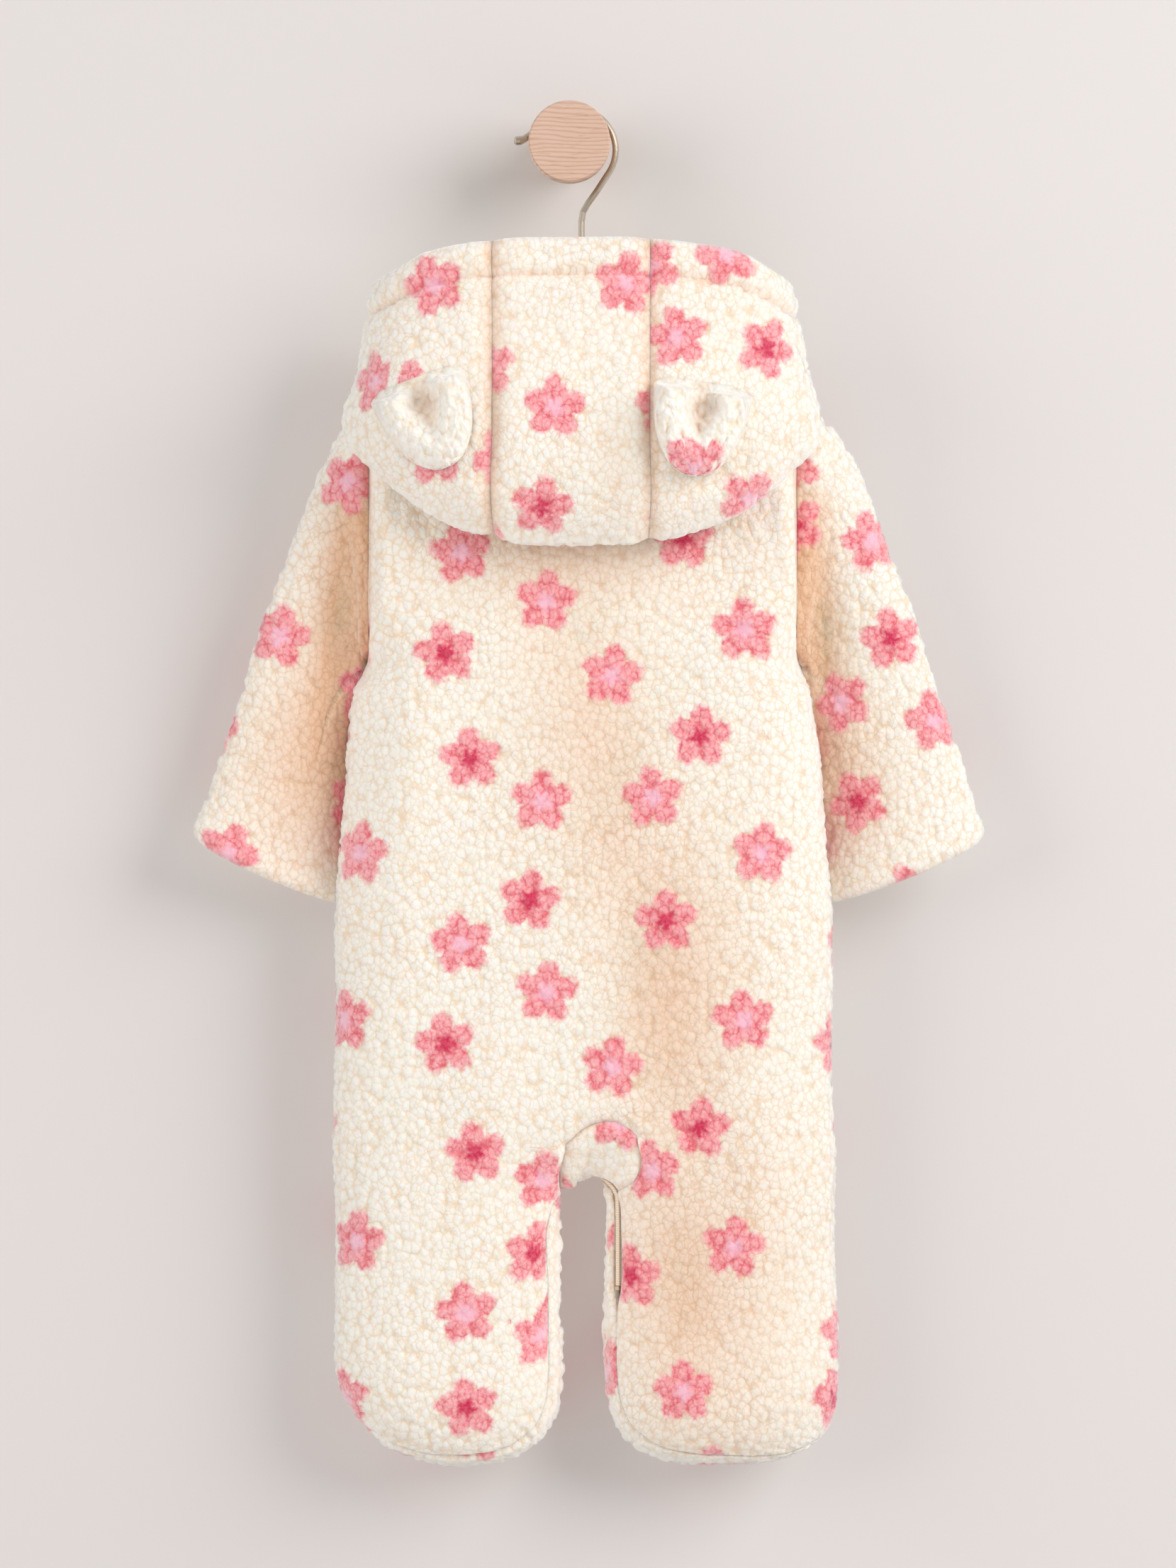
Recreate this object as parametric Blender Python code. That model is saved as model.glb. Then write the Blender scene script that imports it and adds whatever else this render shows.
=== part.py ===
"""A baby's hooded pramsuit of teddy fleece, hung by its shoulders and seen from its back.

Frame: metres, +Z up, -Y towards the viewer, +X to the viewer's right. The origin is the
centre of the wall peg's wall face, so the wall is the plane y = 0 and the suit hangs in
front of it with its front, and its zip, towards the wall.

Every cloth piece is a wall cut from one of three forms: the body's skin, the sleeves and
the hood. The forms are worked out from the short tables below.
"""
import math

import bmesh
import bpy
import numpy as np
from mathutils import Vector
from mathutils.bvhtree import BVHTree

# ---- driving sizes -------------------------------------------------------------------
WALL = 0.0035            # teddy fleece with its pile
SEAM = 0.0003            # between two pieces that are sewn together
SUIT_X = 0.007           # middle of the suit, left and right
SUIT_Y = -0.036          # plane of the hanger and of the side seams

# height, left and right half widths about SUIT_X, half depth about SUIT_Y
BODY = [dict(z=-0.110, left=0.1125, right=0.1125, depth=0.0225),
        dict(z=-0.190, left=0.1125, right=0.1125, depth=0.0250),
        dict(z=-0.270, left=0.1125, right=0.1125, depth=0.0260),
        dict(z=-0.300, left=0.1205, right=0.1195, depth=0.0260),
        dict(z=-0.340, left=0.1250, right=0.1255, depth=0.0250),
        dict(z=-0.400, left=0.1290, right=0.1300, depth=0.0250),
        dict(z=-0.500, left=0.1305, right=0.1315, depth=0.0245),
        dict(z=-0.600, left=0.1300, right=0.1330, depth=0.0240),
        dict(z=-0.650, left=0.1295, right=0.1335, depth=0.0265),
        dict(z=-0.700, left=0.1290, right=0.1335, depth=0.0280)]
EDGE_ROUND = 0.048       # how far in from an edge the cloth still curves round it
TOP_ROUND = 0.030        # the same below the shoulder seams and the neck

NECK_WIDTH = 0.058       # half width and half depth of the neck opening
NECK_DEPTH = 0.022
NECK_Z = -0.128          # where the neck meets the shoulder seams
NAPE_RISE = 0.004
THROAT_DROP = 0.022
SHOULDER_SLOPE = 0.29
ARM_X = 0.1125           # the plane of an armhole, from the middle of the suit
ARM_TOP = NECK_Z - SHOULDER_SLOPE * (ARM_X - NECK_WIDTH)
ARM_FOOT = -0.270        # underarm
ARM_DEPTH = 0.0175       # half depth of the armhole

GAP = 0.0128             # half of the gap between the legs
FORK = -0.542            # top of that gap
GAP_CENTRE = FORK - GAP
LEG_TOP = -0.552         # where the leg sections start
FOOT = -0.646            # below this the feet round off
FOOT_DROP = 0.049
# how much fuller than an ellipse each lower corner of a foot is
FOOT_CORNERS = dict(left=dict(outer=-0.050, inner=0.100), right=dict(outer=0.135, inner=0.090))
TURN = 0.0905            # share of half a leg by which the front wraps round to the back

ZIP_HALF = 0.0025        # half of the slot that the zip closes
ZIP_TOP = -0.1515
ZIP_END = -0.611
# where the zip turns from the front to the inner edge of the right leg: its angle on the
# arch between the legs, and its angle in from the edge, positive on the wall side
ZIP_BEND = [dict(arch=90, inside=0.950), dict(arch=88, inside=0.680),
            dict(arch=79, inside=0.400), dict(arch=61, inside=0.120),
            dict(arch=41, inside=-0.140), dict(arch=20, inside=-0.350),
            dict(arch=0, inside=-0.460)]
ZIP_INSIDE = -0.475      # the same angle down the leg
# the crotch gusset from its left tip to the zip: its seam on the back, the angle of its
# place on the arch between the legs, and its seam on the front
GUSSET = [dict(back=(-0.0125, -0.5520), arch=167.4, front=(-0.0125, -0.5520)),
          dict(back=(-0.0123, -0.5400), arch=153.0, front=(-0.0123, -0.5400)),
          dict(back=(-0.0085, -0.5265), arch=139.0, front=(-0.0118, -0.5310)),
          dict(back=(0.0035, -0.5170), arch=125.0, front=(-0.0104, -0.5240)),
          dict(back=(0.0175, -0.5150), arch=111.0, front=(-0.0085, -0.5190)),
          dict(back=(0.0285, -0.5225), arch=99.0, front=(-0.0066, -0.5165)),
          dict(back=(0.0310, -0.5380), arch=89.0, front=(-0.0051, -0.5152)),
          dict(back=(0.0270, -0.5465), arch=81.0, front=(-0.0038, -0.5145)),
          dict(back=(0.0200, -0.5520), arch=74.0, front=(-0.0025, -0.5140))]
LEFT_FORK = 2            # above this row its seams run across the body, below down the leg
LOBE = 5                 # the same on the right of the back
GUSSET_STEPS = [1, 0.80, 0.60, 0.42, 0.26, 0.11]   # its rows, from a seam to the arch

# one row for each place down a sleeve: its upper and its lower edge, each as how far out
# from the armhole, how far towards the wall and its height, the half depth between them,
# and how much further in the left sleeve's upper edge lies
SLEEVE = [dict(top=(0.0000, 0.0000, ARM_TOP), low=(0.0000, 0.0000, ARM_FOOT),
               depth=0.0175, slack=0.0000),
          dict(top=(0.0110, 0.0000, -0.1470), low=(0.0045, 0.0040, -0.2750),
               depth=0.0185, slack=0.0045),
          dict(top=(0.0270, 0.0010, -0.1680), low=(0.0045, 0.0130, -0.2940),
               depth=0.0180, slack=0.0060),
          dict(top=(0.0480, 0.0010, -0.2230), low=(0.0080, 0.0210, -0.3250),
               depth=0.0160, slack=0.0050),
          dict(top=(0.0720, 0.0010, -0.2980), low=(0.0080, 0.0225, -0.3600),
               depth=0.0150, slack=0.0015),
          dict(top=(0.0925, 0.0010, -0.3660), low=(0.0105, 0.0225, -0.4000),
               depth=0.0160, slack=0.0000)]
SLEEVE_SPREAD = dict(left=0.985, right=1.065)
SLEEVE_AT = [0, 0.5, 1, 1.5, 2, 2.5, 3, 3.7, 4.35, 5]     # its rings, counted in those rows
SLEEVE_COLUMNS = 16
CUFF_BOW = 0.0060        # how far the middle of a cuff hangs below its ends
CLOSER_AT_EDGES = 0.22   # how much closer its columns lie where it is flattened

# one row for each station round the hood from the nape to the zip: the angle at the neck,
# then the bottom of the bag, its fullest place and the rim, as (out, back, height)
HOOD = [dict(turn=0, bag=(.000, .043, -.2100), full=(.000, .064, -.1600), rim=(.000, .050, -.0530)),
        dict(turn=31, bag=(.040, .043, -.2080), full=(.041, .063, -.1580), rim=(.041, .049, -.0540)),
        dict(turn=55, bag=(.079, .041, -.1955), full=(.080, .057, -.1490), rim=(.079, .045, -.0595)),
        dict(turn=74, bag=(.104, .035, -.1755), full=(.105, .046, -.1370), rim=(.095, .035, -.0680)),
        dict(turn=92, bag=(.117, .024, -.1545), full=(.116, .026, -.1260), rim=(.104, .018, -.0750)),
        dict(turn=118, bag=(.087, -.004, -.1275), full=(.100, -.004, -.1100), rim=(.095, -.006, -.0850)),
        dict(turn=146, bag=(.040, -.019, -.1320), full=(.047, -.020, -.1200), rim=(.054, -.020, -.1070)),
        dict(turn=176, bag=(.005, -.021, -.1450), full=(.006, -.021, -.1420), rim=(.007, -.021, -.1370))]
HOOD_SEAMS = (-1.15, 0.85)   # stations of the two seams beside the middle panel
HOOD_STANDS = 146        # from this angle on the collar stands straight up at the front
HOOD_ALONG = [0, 1, 2, 3, 4, 5, 5.5, 6.2, 7, 7.7, 8.4, 9]  # its rows, counted in its profile
HOOD_COLUMNS = 11
CENTRE_COLUMNS = 6

# an ear as cut, how much it has shrunk, its thickness at the edge and how much thinner its
# hollow is, its room over the hood, and the places of its rows and columns
EAR = dict(width=0.052, drop=0.050, shrink=0.93, thick=0.0070, hollow=0.0021, room=0.0009)
EAR_DOWN = [0, 0.13, 0.30, 0.48, 0.66, 0.82, 0.94, 1]
EAR_ACROSS = [-1, -0.86, -0.6, -0.3, 0, 0.3, 0.6, 0.86, 1]
EARS = dict(left=dict(x=-0.0720, z=-0.1265), right=dict(x=0.0670, z=-0.1285))

PEG = dict(neck=0.0156, disc=0.0215, reach=0.0395, thick=0.0140, edge=0.0008)
HOOK = dict(x=0.0026, z=-0.0033, radius=0.0218, wire=0.0017, ball=0.0025, stem=0.0064, bend=-0.0360)
# one row for each place along an arm of the hanger, out from the middle of the suit
HANGER = [dict(out=0.000, top=-0.1140, high=0.0072, deep=0.0052),
          dict(out=0.020, top=-0.1172, high=0.0070, deep=0.0052),
          dict(out=0.044, top=-0.1278, high=0.0062, deep=0.0052),
          dict(out=0.060, top=-0.1330, high=0.0056, deep=0.0052),
          dict(out=0.080, top=-0.1387, high=0.0050, deep=0.0050),
          dict(out=0.095, top=-0.1432, high=0.0044, deep=0.0046)]
# the slider: a plate with two lugs and a pin through the tab's barrel
SLIDER = dict(z=-0.1640, width=0.0080, height=0.0110, plate=0.0016, rise=0.0021, pin=0.0007,
              lug=(0.0008, 0.0036, 0.0026), play=0.0003, room=0.0002)
TAB = dict(width=0.0040, bore=0.0010, round=0.0016, length=0.0220, tip=0.0006)
# half widths, and depths into the slot, of the zip's strips
TAPE = dict(middle=0.00015, edge=0.0016, shallow=0.0019, deep=0.0027)
CHAIN = dict(edge=0.0012, shallow=0.0002, deep=0.0014)
STOP = dict(edge=0.0014, shallow=-0.0002, deep=0.0015)

MATERIALS = dict(fleece=((0.93, 0.87, 0.78), 0.95, 0.0),
                 zip_tape=((0.88, 0.82, 0.72), 0.85, 0.0),
                 zip_metal=((0.80, 0.76, 0.70), 0.35, 1.0),
                 hook_metal=((0.72, 0.68, 0.62), 0.25, 1.0),
                 pale_wood=((0.76, 0.58, 0.43), 0.60, 0.0))


# ---- helpers -------------------------------------------------------------------------
def through(rows, key, at, where="z"):
    """A smooth value of one column of a table, which never swings past its rows."""
    xs = np.array([row[where] for row in rows], float)
    ys = np.array([row[key] for row in rows], float)
    if xs[0] > xs[-1]:
        xs, ys = xs[::-1], ys[::-1]
    rise = np.diff(ys) / np.diff(xs)
    slope = np.zeros(len(xs))
    product = rise[1:] * rise[:-1]
    total = rise[1:] + rise[:-1]
    slope[1:-1] = np.where(product > 0, 2 * product / np.where(total == 0, 1, total), 0)
    slope[0], slope[-1] = rise[0], rise[-1]
    at = np.clip(np.asarray(at, float), xs[0], xs[-1])
    i = np.clip(np.searchsorted(xs, at) - 1, 0, len(xs) - 2)
    h = xs[i + 1] - xs[i]
    t = (at - xs[i]) / h
    return (ys[i] * (1 + 2 * t) * (1 - t) ** 2 + ys[i + 1] * t * t * (3 - 2 * t)
            + h * (slope[i] * t * (1 - t) ** 2 + slope[i + 1] * t * t * (t - 1)))


def spline(points, at):
    """A Catmull-Rom curve through points, read at positions counted in points."""
    points = np.asarray(points, float)
    at = np.clip(np.asarray(at, float), 0, len(points) - 1)
    i = np.clip(np.floor(at).astype(int), 0, len(points) - 2)
    t = (at - i)[..., None]
    before = points[np.maximum(i - 1, 0)]
    after = points[np.minimum(i + 2, len(points) - 1)]
    a, b = points[i], points[i + 1]
    return 0.5 * (2 * a + (b - before) * t + (2 * before - 5 * a + 4 * b - after) * t ** 2
                  + (3 * a - before - 3 * b + after) * t ** 3)


def ease(t):
    t = np.clip(t, 0, 1)
    return t * t * (3 - 2 * t)


def unit(v):
    return v / np.maximum(np.linalg.norm(v, axis=-1, keepdims=True), 1e-12)


def mix(a, b, t):
    return a + (b - a) * t


def material(name):
    colour, roughness, metallic = MATERIALS[name]
    found = bpy.data.materials.get(name)
    if found is None:
        found = bpy.data.materials.new(name)
        found.use_nodes = True
        shader = found.node_tree.nodes["Principled BSDF"]
        shader.inputs["Base Color"].default_value = (*colour, 1)
        shader.inputs["Roughness"].default_value = roughness
        shader.inputs["Metallic"].default_value = metallic
    return found


def solid(name, finish, vertices, faces):
    """One closed body, its faces turned outwards."""
    mesh = bpy.data.meshes.new(name)
    mesh.from_pydata([tuple(v) for v in vertices], [], faces)
    edit = bmesh.new()
    edit.from_mesh(mesh)
    bmesh.ops.remove_doubles(edit, verts=edit.verts, dist=1e-6)
    bmesh.ops.triangulate(edit, faces=edit.faces)
    bmesh.ops.recalc_face_normals(edit, faces=edit.faces)
    edit.to_mesh(mesh)
    edit.free()
    mesh.shade_smooth()
    mesh.set_sharp_from_angle(angle=math.radians(40))
    mesh.materials.append(material(finish))
    piece = bpy.data.objects.new(name, mesh)
    bpy.context.scene.collection.objects.link(piece)
    return piece


def cloth(name, *grids, finish="fleece"):
    """A wall between the outer and the inner points of one or more joined grids.

    Each grid is a pair of arrays, rows and columns of points, outer and inner. Grids of one
    piece share the outer points where they join, and a grid whose last column repeats its
    first closes into a tube.
    """
    outer, inner, known, quads = [], [], {}, []
    for out, inn in grids:
        rows, cols = out.shape[:2]
        number = np.zeros((rows, cols), int)
        for i in range(rows):
            for j in range(cols):
                key = tuple(np.round(out[i, j] * 2e5).astype(int))
                if key not in known:
                    known[key] = len(outer)
                    outer.append(out[i, j])
                    inner.append(inn[i, j])
                number[i, j] = known[key]
        for i in range(rows - 1):
            for j in range(cols - 1):
                ring = [number[i, j], number[i, j + 1], number[i + 1, j + 1], number[i + 1, j]]
                ring = [k for n, k in enumerate(ring) if k != ring[n - 1]]
                if len(ring) > 2:
                    quads.append(ring)
    uses = {}
    for ring in quads:
        for n, k in enumerate(ring):
            edge = tuple(sorted((ring[n - 1], k)))
            uses[edge] = uses.get(edge, 0) + 1
    shift = len(outer)
    faces = quads + [[shift + k for k in reversed(ring)] for ring in quads]
    faces += [[a, b, shift + b, shift + a] for (a, b), count in uses.items() if count == 1]
    return solid(name, finish, outer + inner, faces)


def draw_back(border, beside, layers, distance):
    """Move a border of points across its own line, towards the points beside it."""
    along = unit(np.gradient(border, axis=0))
    step = beside - border
    step = unit(step - (step * along).sum(-1, keepdims=True) * along) * distance
    for layer in layers:
        layer += step


def nudge(grid, **edges):
    """Draw the named edges of a grid back by a distance each, for the room at a seam."""
    out, inn = grid
    views = dict(top=(np.s_[0], np.s_[1]), bottom=(np.s_[-1], np.s_[-2]),
                 left=(np.s_[:, 0], np.s_[:, 1]), right=(np.s_[:, -1], np.s_[:, -2]))
    for edge, distance in edges.items():
        border, beside = views[edge]
        draw_back(out[border].copy(), out[beside], (out[border], inn[border]), distance)
    return out, inn


# ---- the body's skin -----------------------------------------------------------------
def half(x, z):
    """Half width of the body on the side of x."""
    return np.where(x < 0, through(BODY, "left", z), through(BODY, "right", z))


def top_height(x, wall_side):
    """Height of the shoulder seams and of the neck, lower at the throat than at the nape."""
    inside = np.clip(1 - (x / NECK_WIDTH) ** 2, 0, 1) ** 2
    neck = np.where(wall_side, -THROAT_DROP, NAPE_RISE) * inside
    return NECK_Z + neck - SHOULDER_SLOPE * np.maximum(np.abs(x) - NECK_WIDTH, 0)


def gap_edge(z):
    """Where the inner edge of a leg lies at a height."""
    above = np.clip(z - GAP_CENTRE, 0, GAP)
    return np.sqrt(np.maximum(GAP ** 2 - above ** 2, 0)) * (z < FORK)


def swell(t):
    """Square of how far the cloth has rounded out at t, 0 on an edge and 1 beyond it."""
    return np.where(t < 1, t * (2 - t), 1.0)


def opened(t, share):
    """The same where the edge is an opening that already stands at a share of the depth."""
    round_out = np.sqrt(np.maximum(swell(t), 0))
    part = share + (1 - share) * mix(round_out, swell(t), share)
    return np.where(share > 0, part ** 2, swell(t))


def depth_squared(x, z, wall_side):
    """Square of the half depth at a place of the flat outline, the form of the whole body."""
    width = half(x, z)
    deep = through(BODY, "depth", z)
    reach = (ARM_TOP - ARM_FOOT) / 2
    armhole = 1 - ((z - (ARM_TOP + ARM_FOOT) / 2) / reach) ** 2
    share = ARM_DEPTH / deep * np.sqrt(np.maximum(armhole, 0))
    side = opened((width - np.abs(x)) / EDGE_ROUND, share)
    neck = NECK_DEPTH / deep * np.sqrt(np.maximum(1 - (x / NECK_WIDTH) ** 2, 0))
    top = opened((top_height(x, wall_side) - z) / TOP_ROUND, neck)
    between = np.hypot(x, np.maximum(z - GAP_CENTRE, 0)) - GAP
    legs = swell(between / EDGE_ROUND)
    middle, room = (width + GAP) / 2, (width - GAP) / 2
    out = np.hypot((np.abs(x) - middle) / room, (FOOT - z) / FOOT_DROP)
    foot = swell((1 - out) * room / EDGE_ROUND)
    return deep ** 2 * np.where(z < FOOT, foot, side * top * legs)


def skin(x, z, wall_side):
    """Points and outward directions of the body's outside."""
    x, z, wall_side = np.broadcast_arrays(np.asarray(x, float), np.asarray(z, float), wall_side)
    face = np.where(wall_side, 1.0, -1.0)
    deep = np.sqrt(np.maximum(depth_squared(x, z, wall_side), 0))
    step = 2e-5
    left, right = (depth_squared(x + way * step, z, wall_side) for way in (-1, 1))
    low, high = (depth_squared(x, z + way * step, wall_side) for way in (-1, 1))
    out = unit(np.stack([(left - right) / (2 * step), 2 * face * deep, (low - high) / (2 * step)], -1))
    point = np.stack([x + SUIT_X, SUIT_Y + face * deep, z], -1)
    return point, out


def body_grid(x, z, wall_side, arms=(), neck=False):
    """Outer and inner points of a stretch of the body.

    At an armhole the wall's edge lies in the plane of the armhole, and at the neck in the
    plane of the neck, so that the sleeve and the hood meet it face to face.
    """
    point, out = skin(x, z, wall_side)
    deep = point[..., 1] - SUIT_Y
    if neck:
        ring = np.abs(x[0]) < NECK_WIDTH * 1.001
        out[0, ring] = neck_direction(x[0], deep[0])[ring]
    for column in arms:
        heights = z[:, column]
        middle, reach = (ARM_TOP + ARM_FOOT) / 2, (ARM_TOP - ARM_FOOT) / 2
        flat = np.stack([0 * heights, deep[:, column] / ARM_DEPTH ** 2,
                         (heights - middle) / reach ** 2], -1)
        hole = heights > ARM_FOOT + 1e-5
        out[hole, column] = unit(flat)[hole]
        out[0, column] = (0, 0, 1)
        foot = np.argmin(np.abs(heights - ARM_FOOT))
        out[foot, column] = unit(out[foot, column] + np.array([0, 0, -1.0]))
    return fuller_feet(point), fuller_feet(point - WALL * out)


def fuller_feet(points):
    """The points with the lower corners of the feet pushed out or in."""
    x, z = points[..., 0] - SUIT_X, points[..., 2]
    right = x > 0
    width = np.where(right, half(0 * x + 0.1, z), half(0 * x - 0.1, z))
    across = (np.abs(x) - (width + GAP) / 2) / ((width - GAP) / 2)
    down = np.maximum(FOOT - z, 0) / FOOT_DROP
    outer, inner = (np.where(right, FOOT_CORNERS["right"][k], FOOT_CORNERS["left"][k])
                    for k in ("outer", "inner"))
    corner = np.sin(2 * np.arctan2(down, np.abs(across))) ** 2 * (across ** 2 + down ** 2)
    share = np.where(across > 0, outer, inner) * corner
    moved = points.copy()
    moved[..., 0] += np.sign(x) * share * across * (width - GAP) / 2
    moved[..., 2] -= share * down * FOOT_DROP
    return moved


def neck_direction(x, deep):
    """Level direction out of the neck ring at a place on it."""
    return unit(np.stack([x / NECK_WIDTH ** 2, deep / NECK_DEPTH ** 2, 0 * x], -1))


# ---- the zip's line ------------------------------------------------------------------
def zip_line():
    """Outside points of the zip's middle, their outward directions and those across it."""
    turn = spline([(row["arch"], row["inside"]) for row in ZIP_BEND],
                  np.linspace(0, len(ZIP_BEND) - 1, 61))
    arch, inside = np.radians(turn[:, 0]), turn[:, 1]
    r = GAP + EDGE_ROUND * (1 - np.cos(inside))
    x, z = r * np.cos(arch), GAP_CENTRE + r * np.sin(arch)
    front = np.linspace(ZIP_TOP, z[0], 60)[:-1]
    down = np.linspace(z[-1], ZIP_END - 0.004, 24)[1:]
    turned = mix(turn[-1, 1], ZIP_INSIDE, ease((z[-1] - down) / 0.012))
    side_x = GAP + EDGE_ROUND * (1 - np.cos(turned))
    x = np.concatenate([0 * front, x, side_x])
    z = np.concatenate([front, z, down])
    wall_side = np.concatenate([np.full(len(front), True), inside > 0, np.full(len(down), False)])
    point, out = skin(x, z, wall_side)
    along = unit(np.gradient(point, axis=0))
    return point, out, unit(np.cross(along, out))


def slot_edge(sign):
    """One edge of the slot as heights, half widths and angles in from the edge of the leg."""
    point, _, across = zip_line()
    closing = ease((point[:, 2] - ZIP_END + 0.002) / 0.008)
    at = point + sign * (SEAM / 2 + (ZIP_HALF - SEAM / 2) * closing)[:, None] * across
    x, deep, z = at[:, 0] - SUIT_X, at[:, 1] - SUIT_Y, at[:, 2]
    inside = np.arcsin(np.clip(deep / through(BODY, "depth", z), -0.999, 0.999))
    r = GAP + EDGE_ROUND * (1 - np.cos(inside))
    angle = np.arctan2(np.maximum(z - GAP_CENTRE, 0), x)
    near = (np.abs(inside) < 1.0) & (z < -0.515)
    x = np.where(near, r * np.cos(angle), x)
    z = np.where(near & (angle > 0), GAP_CENTRE + r * np.sin(angle), z)
    return z, x, inside


SLOT = {}                # the two edges, worked out once


def slot(sign, z):
    """Half width where an edge of the slot lies at a height, and its angle in from the leg's edge."""
    if sign not in SLOT:
        SLOT[sign] = slot_edge(sign)
    heights, x, inside = SLOT[sign]
    return np.interp(-np.asarray(z), -heights, x), np.interp(-np.asarray(z), -heights, inside)


# ---- body panels ---------------------------------------------------------------------
def leg_place(side, a, drop, z, reach, wall_side):
    """A place on a leg: a from its outer seam, -1, to its inner edge, 1, drop down the foot."""
    m = np.maximum(np.maximum(np.abs(a), drop), 1e-9)
    a, drop = a / m, drop / m
    across = a * np.sqrt(1 - drop ** 2 / 2)
    down = drop * np.sqrt(1 - a ** 2 / 2)
    angle = np.degrees(np.arctan2(np.abs(down), across))
    out = m * (1 + reach * ease((150 - angle) / 60))
    turned = out > 1
    out = np.where(turned, 2 - out, out)
    width, inner = half(np.array(side * 0.1), z), gap_edge(z)
    x = side * ((width + inner) / 2 - out * across * (width - inner) / 2)
    return x, z - out * down * FOOT_DROP, turned != wall_side


def leg_reach(side, z, wall_side):
    """How far past the inner edge a panel goes, as a share of half the leg."""
    rows = GUSSET[:LEFT_FORK + 1] if side < 0 else GUSSET[LOBE:]
    if z > LEG_TOP and not (side > 0 and wall_side):
        which = "front" if wall_side else "back"
        seam = [dict(x=abs(row[which][0]), z=row[which][1]) for row in rows]
        x, past = through(seam, "x", z), False
    elif side < 0:
        return (TURN if wall_side else -TURN) * float(ease((LEG_TOP - z) / 0.014))
    else:
        x, inside = slot(1 if wall_side else -1, z)
        past = wall_side and inside < 0
    width = through(BODY, "left" if side < 0 else "right", z)
    share = float((x - gap_edge(z)) / ((width - gap_edge(z)) / 2))
    return share if past else -share


# columns across a leg from its outer seam, and rows down its foot; the front turns over the
# inner edge, and over the toes, where they pass 0.917
LEG_COLUMNS = [-1, -0.951, -0.809, -0.588, -0.309, 0, 0.309, 0.588, 0.790, 0.917, 0.965, 1]
FOOT_ROWS = [0.309, 0.588, 0.790, 0.917, 0.965, 1]
LEG_HEIGHTS = [LEG_TOP, -0.560, -0.568, -0.603, -0.615, FOOT]
FORK_HEIGHTS = [-0.485, -0.505, -0.518, -0.528, -0.535, -0.5395, -0.543, -0.546, -0.549]


def leg(side, wall_side):
    """Rows of places of one leg's front or back, outer seam first."""
    a = np.array(LEG_COLUMNS)
    seam = gusset_seam("front" if wall_side else "back")[:, 1]
    left, right = seam[STOPS.index(LEFT_FORK):0:-1], seam[STOPS.index(LOBE):-1]
    heights = list(left if side < 0 else [] if wall_side else right) + LEG_HEIGHTS
    rows = [leg_place(side, a, 0 * a, z, leg_reach(side, z, wall_side), wall_side) for z in heights]
    foot_reach = TURN if wall_side else -TURN
    for drop in FOOT_ROWS:
        rows.append(leg_place(side, a, drop + 0 * a, FOOT, foot_reach, wall_side))
    return tuple(np.stack([np.broadcast_to(row[k], a.shape) for row in rows]) for k in range(3))


def plain_columns(side, z, inner, count):
    """Places across one side of the body, outer seam first, with one where the neck ends."""
    width = float(half(np.array(side * 0.1), z))
    arc = np.linspace(0, math.pi / 2, count // 2 + 1)
    outer = width - (width - NECK_WIDTH) * (1 - np.cos(arc))
    return side * np.concatenate([outer, np.linspace(NECK_WIDTH, inner, count - count // 2 + 1)[1:]])


YOKE_Z = -0.165
SHOULDER_ROWS = [0.0, 0.12, 0.45]
BODY_HEIGHTS = [YOKE_Z, -0.212, -0.254, ARM_FOOT, -0.300, -0.345, -0.440]
BLEND = [dict(down=0.34, share=0.20), dict(down=0.66, share=0.55), dict(down=0.88, share=0.85)]
MIDDLE = 0.016           # the plain columns end at this half width
STOPS = [0, 0.12, 0.5, 1, 2, 3, 4, 5, 6, 7, 8]  # places along the gusset, counted in its rows


def torso(columns, wall_side):
    """Rows of places from the shoulders down to where they draw together for the fork."""
    x = columns(YOKE_Z)
    rows = [(x, mix(top_height(x, wall_side), YOKE_Z, share)) for share in SHOULDER_ROWS]
    return rows + [(columns(z), z + 0 * x) for z in BODY_HEIGHTS]


def forked(rows, columns, fork_x, fork_z):
    """The same rows led on to a fork row, which is not level."""
    last = BODY_HEIGHTS[-1]
    for row in BLEND:
        x = mix(columns(mix(last, fork_z[0], row["down"])), fork_x, row["share"])
        rows.append((x, mix(last, fork_z, row["down"])))
    rows.append((fork_x, fork_z))
    return np.stack([r[0] for r in rows]), np.stack([r[1] for r in rows])


def gusset_seam(which):
    """Places along a seam of the gusset, its tip first and the zip's slot last."""
    seam = np.array([row[which] for row in GUSSET])
    seam[0] = -gap_edge(LEG_TOP), LEG_TOP
    seam[-1, 1] = LEG_TOP if which == "back" else seam[-1, 1]
    seam[-1, 0] = slot(-1, seam[-1, 1])[0]
    return np.stack([np.interp(STOPS, range(len(seam)), seam[:, k]) for k in range(2)], -1)


def join_legs(trunk, left=None, right=None):
    """Draw the gusset's seam back from the fork row, and give that row the legs' own points."""
    out, inn = trunk
    n = len(LEG_COLUMNS)
    middle = np.s_[-1, n:-n] if right else np.s_[-1, n:]
    above = np.s_[-2, n:-n] if right else np.s_[-2, n:]
    draw_back(out[middle].copy(), out[above], (out[middle], inn[middle]), SEAM / 2)
    for layer in range(2):
        trunk[layer][-1, :n] = left[layer][0]
        if right:
            trunk[layer][-1, -n:] = right[layer][0]


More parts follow.
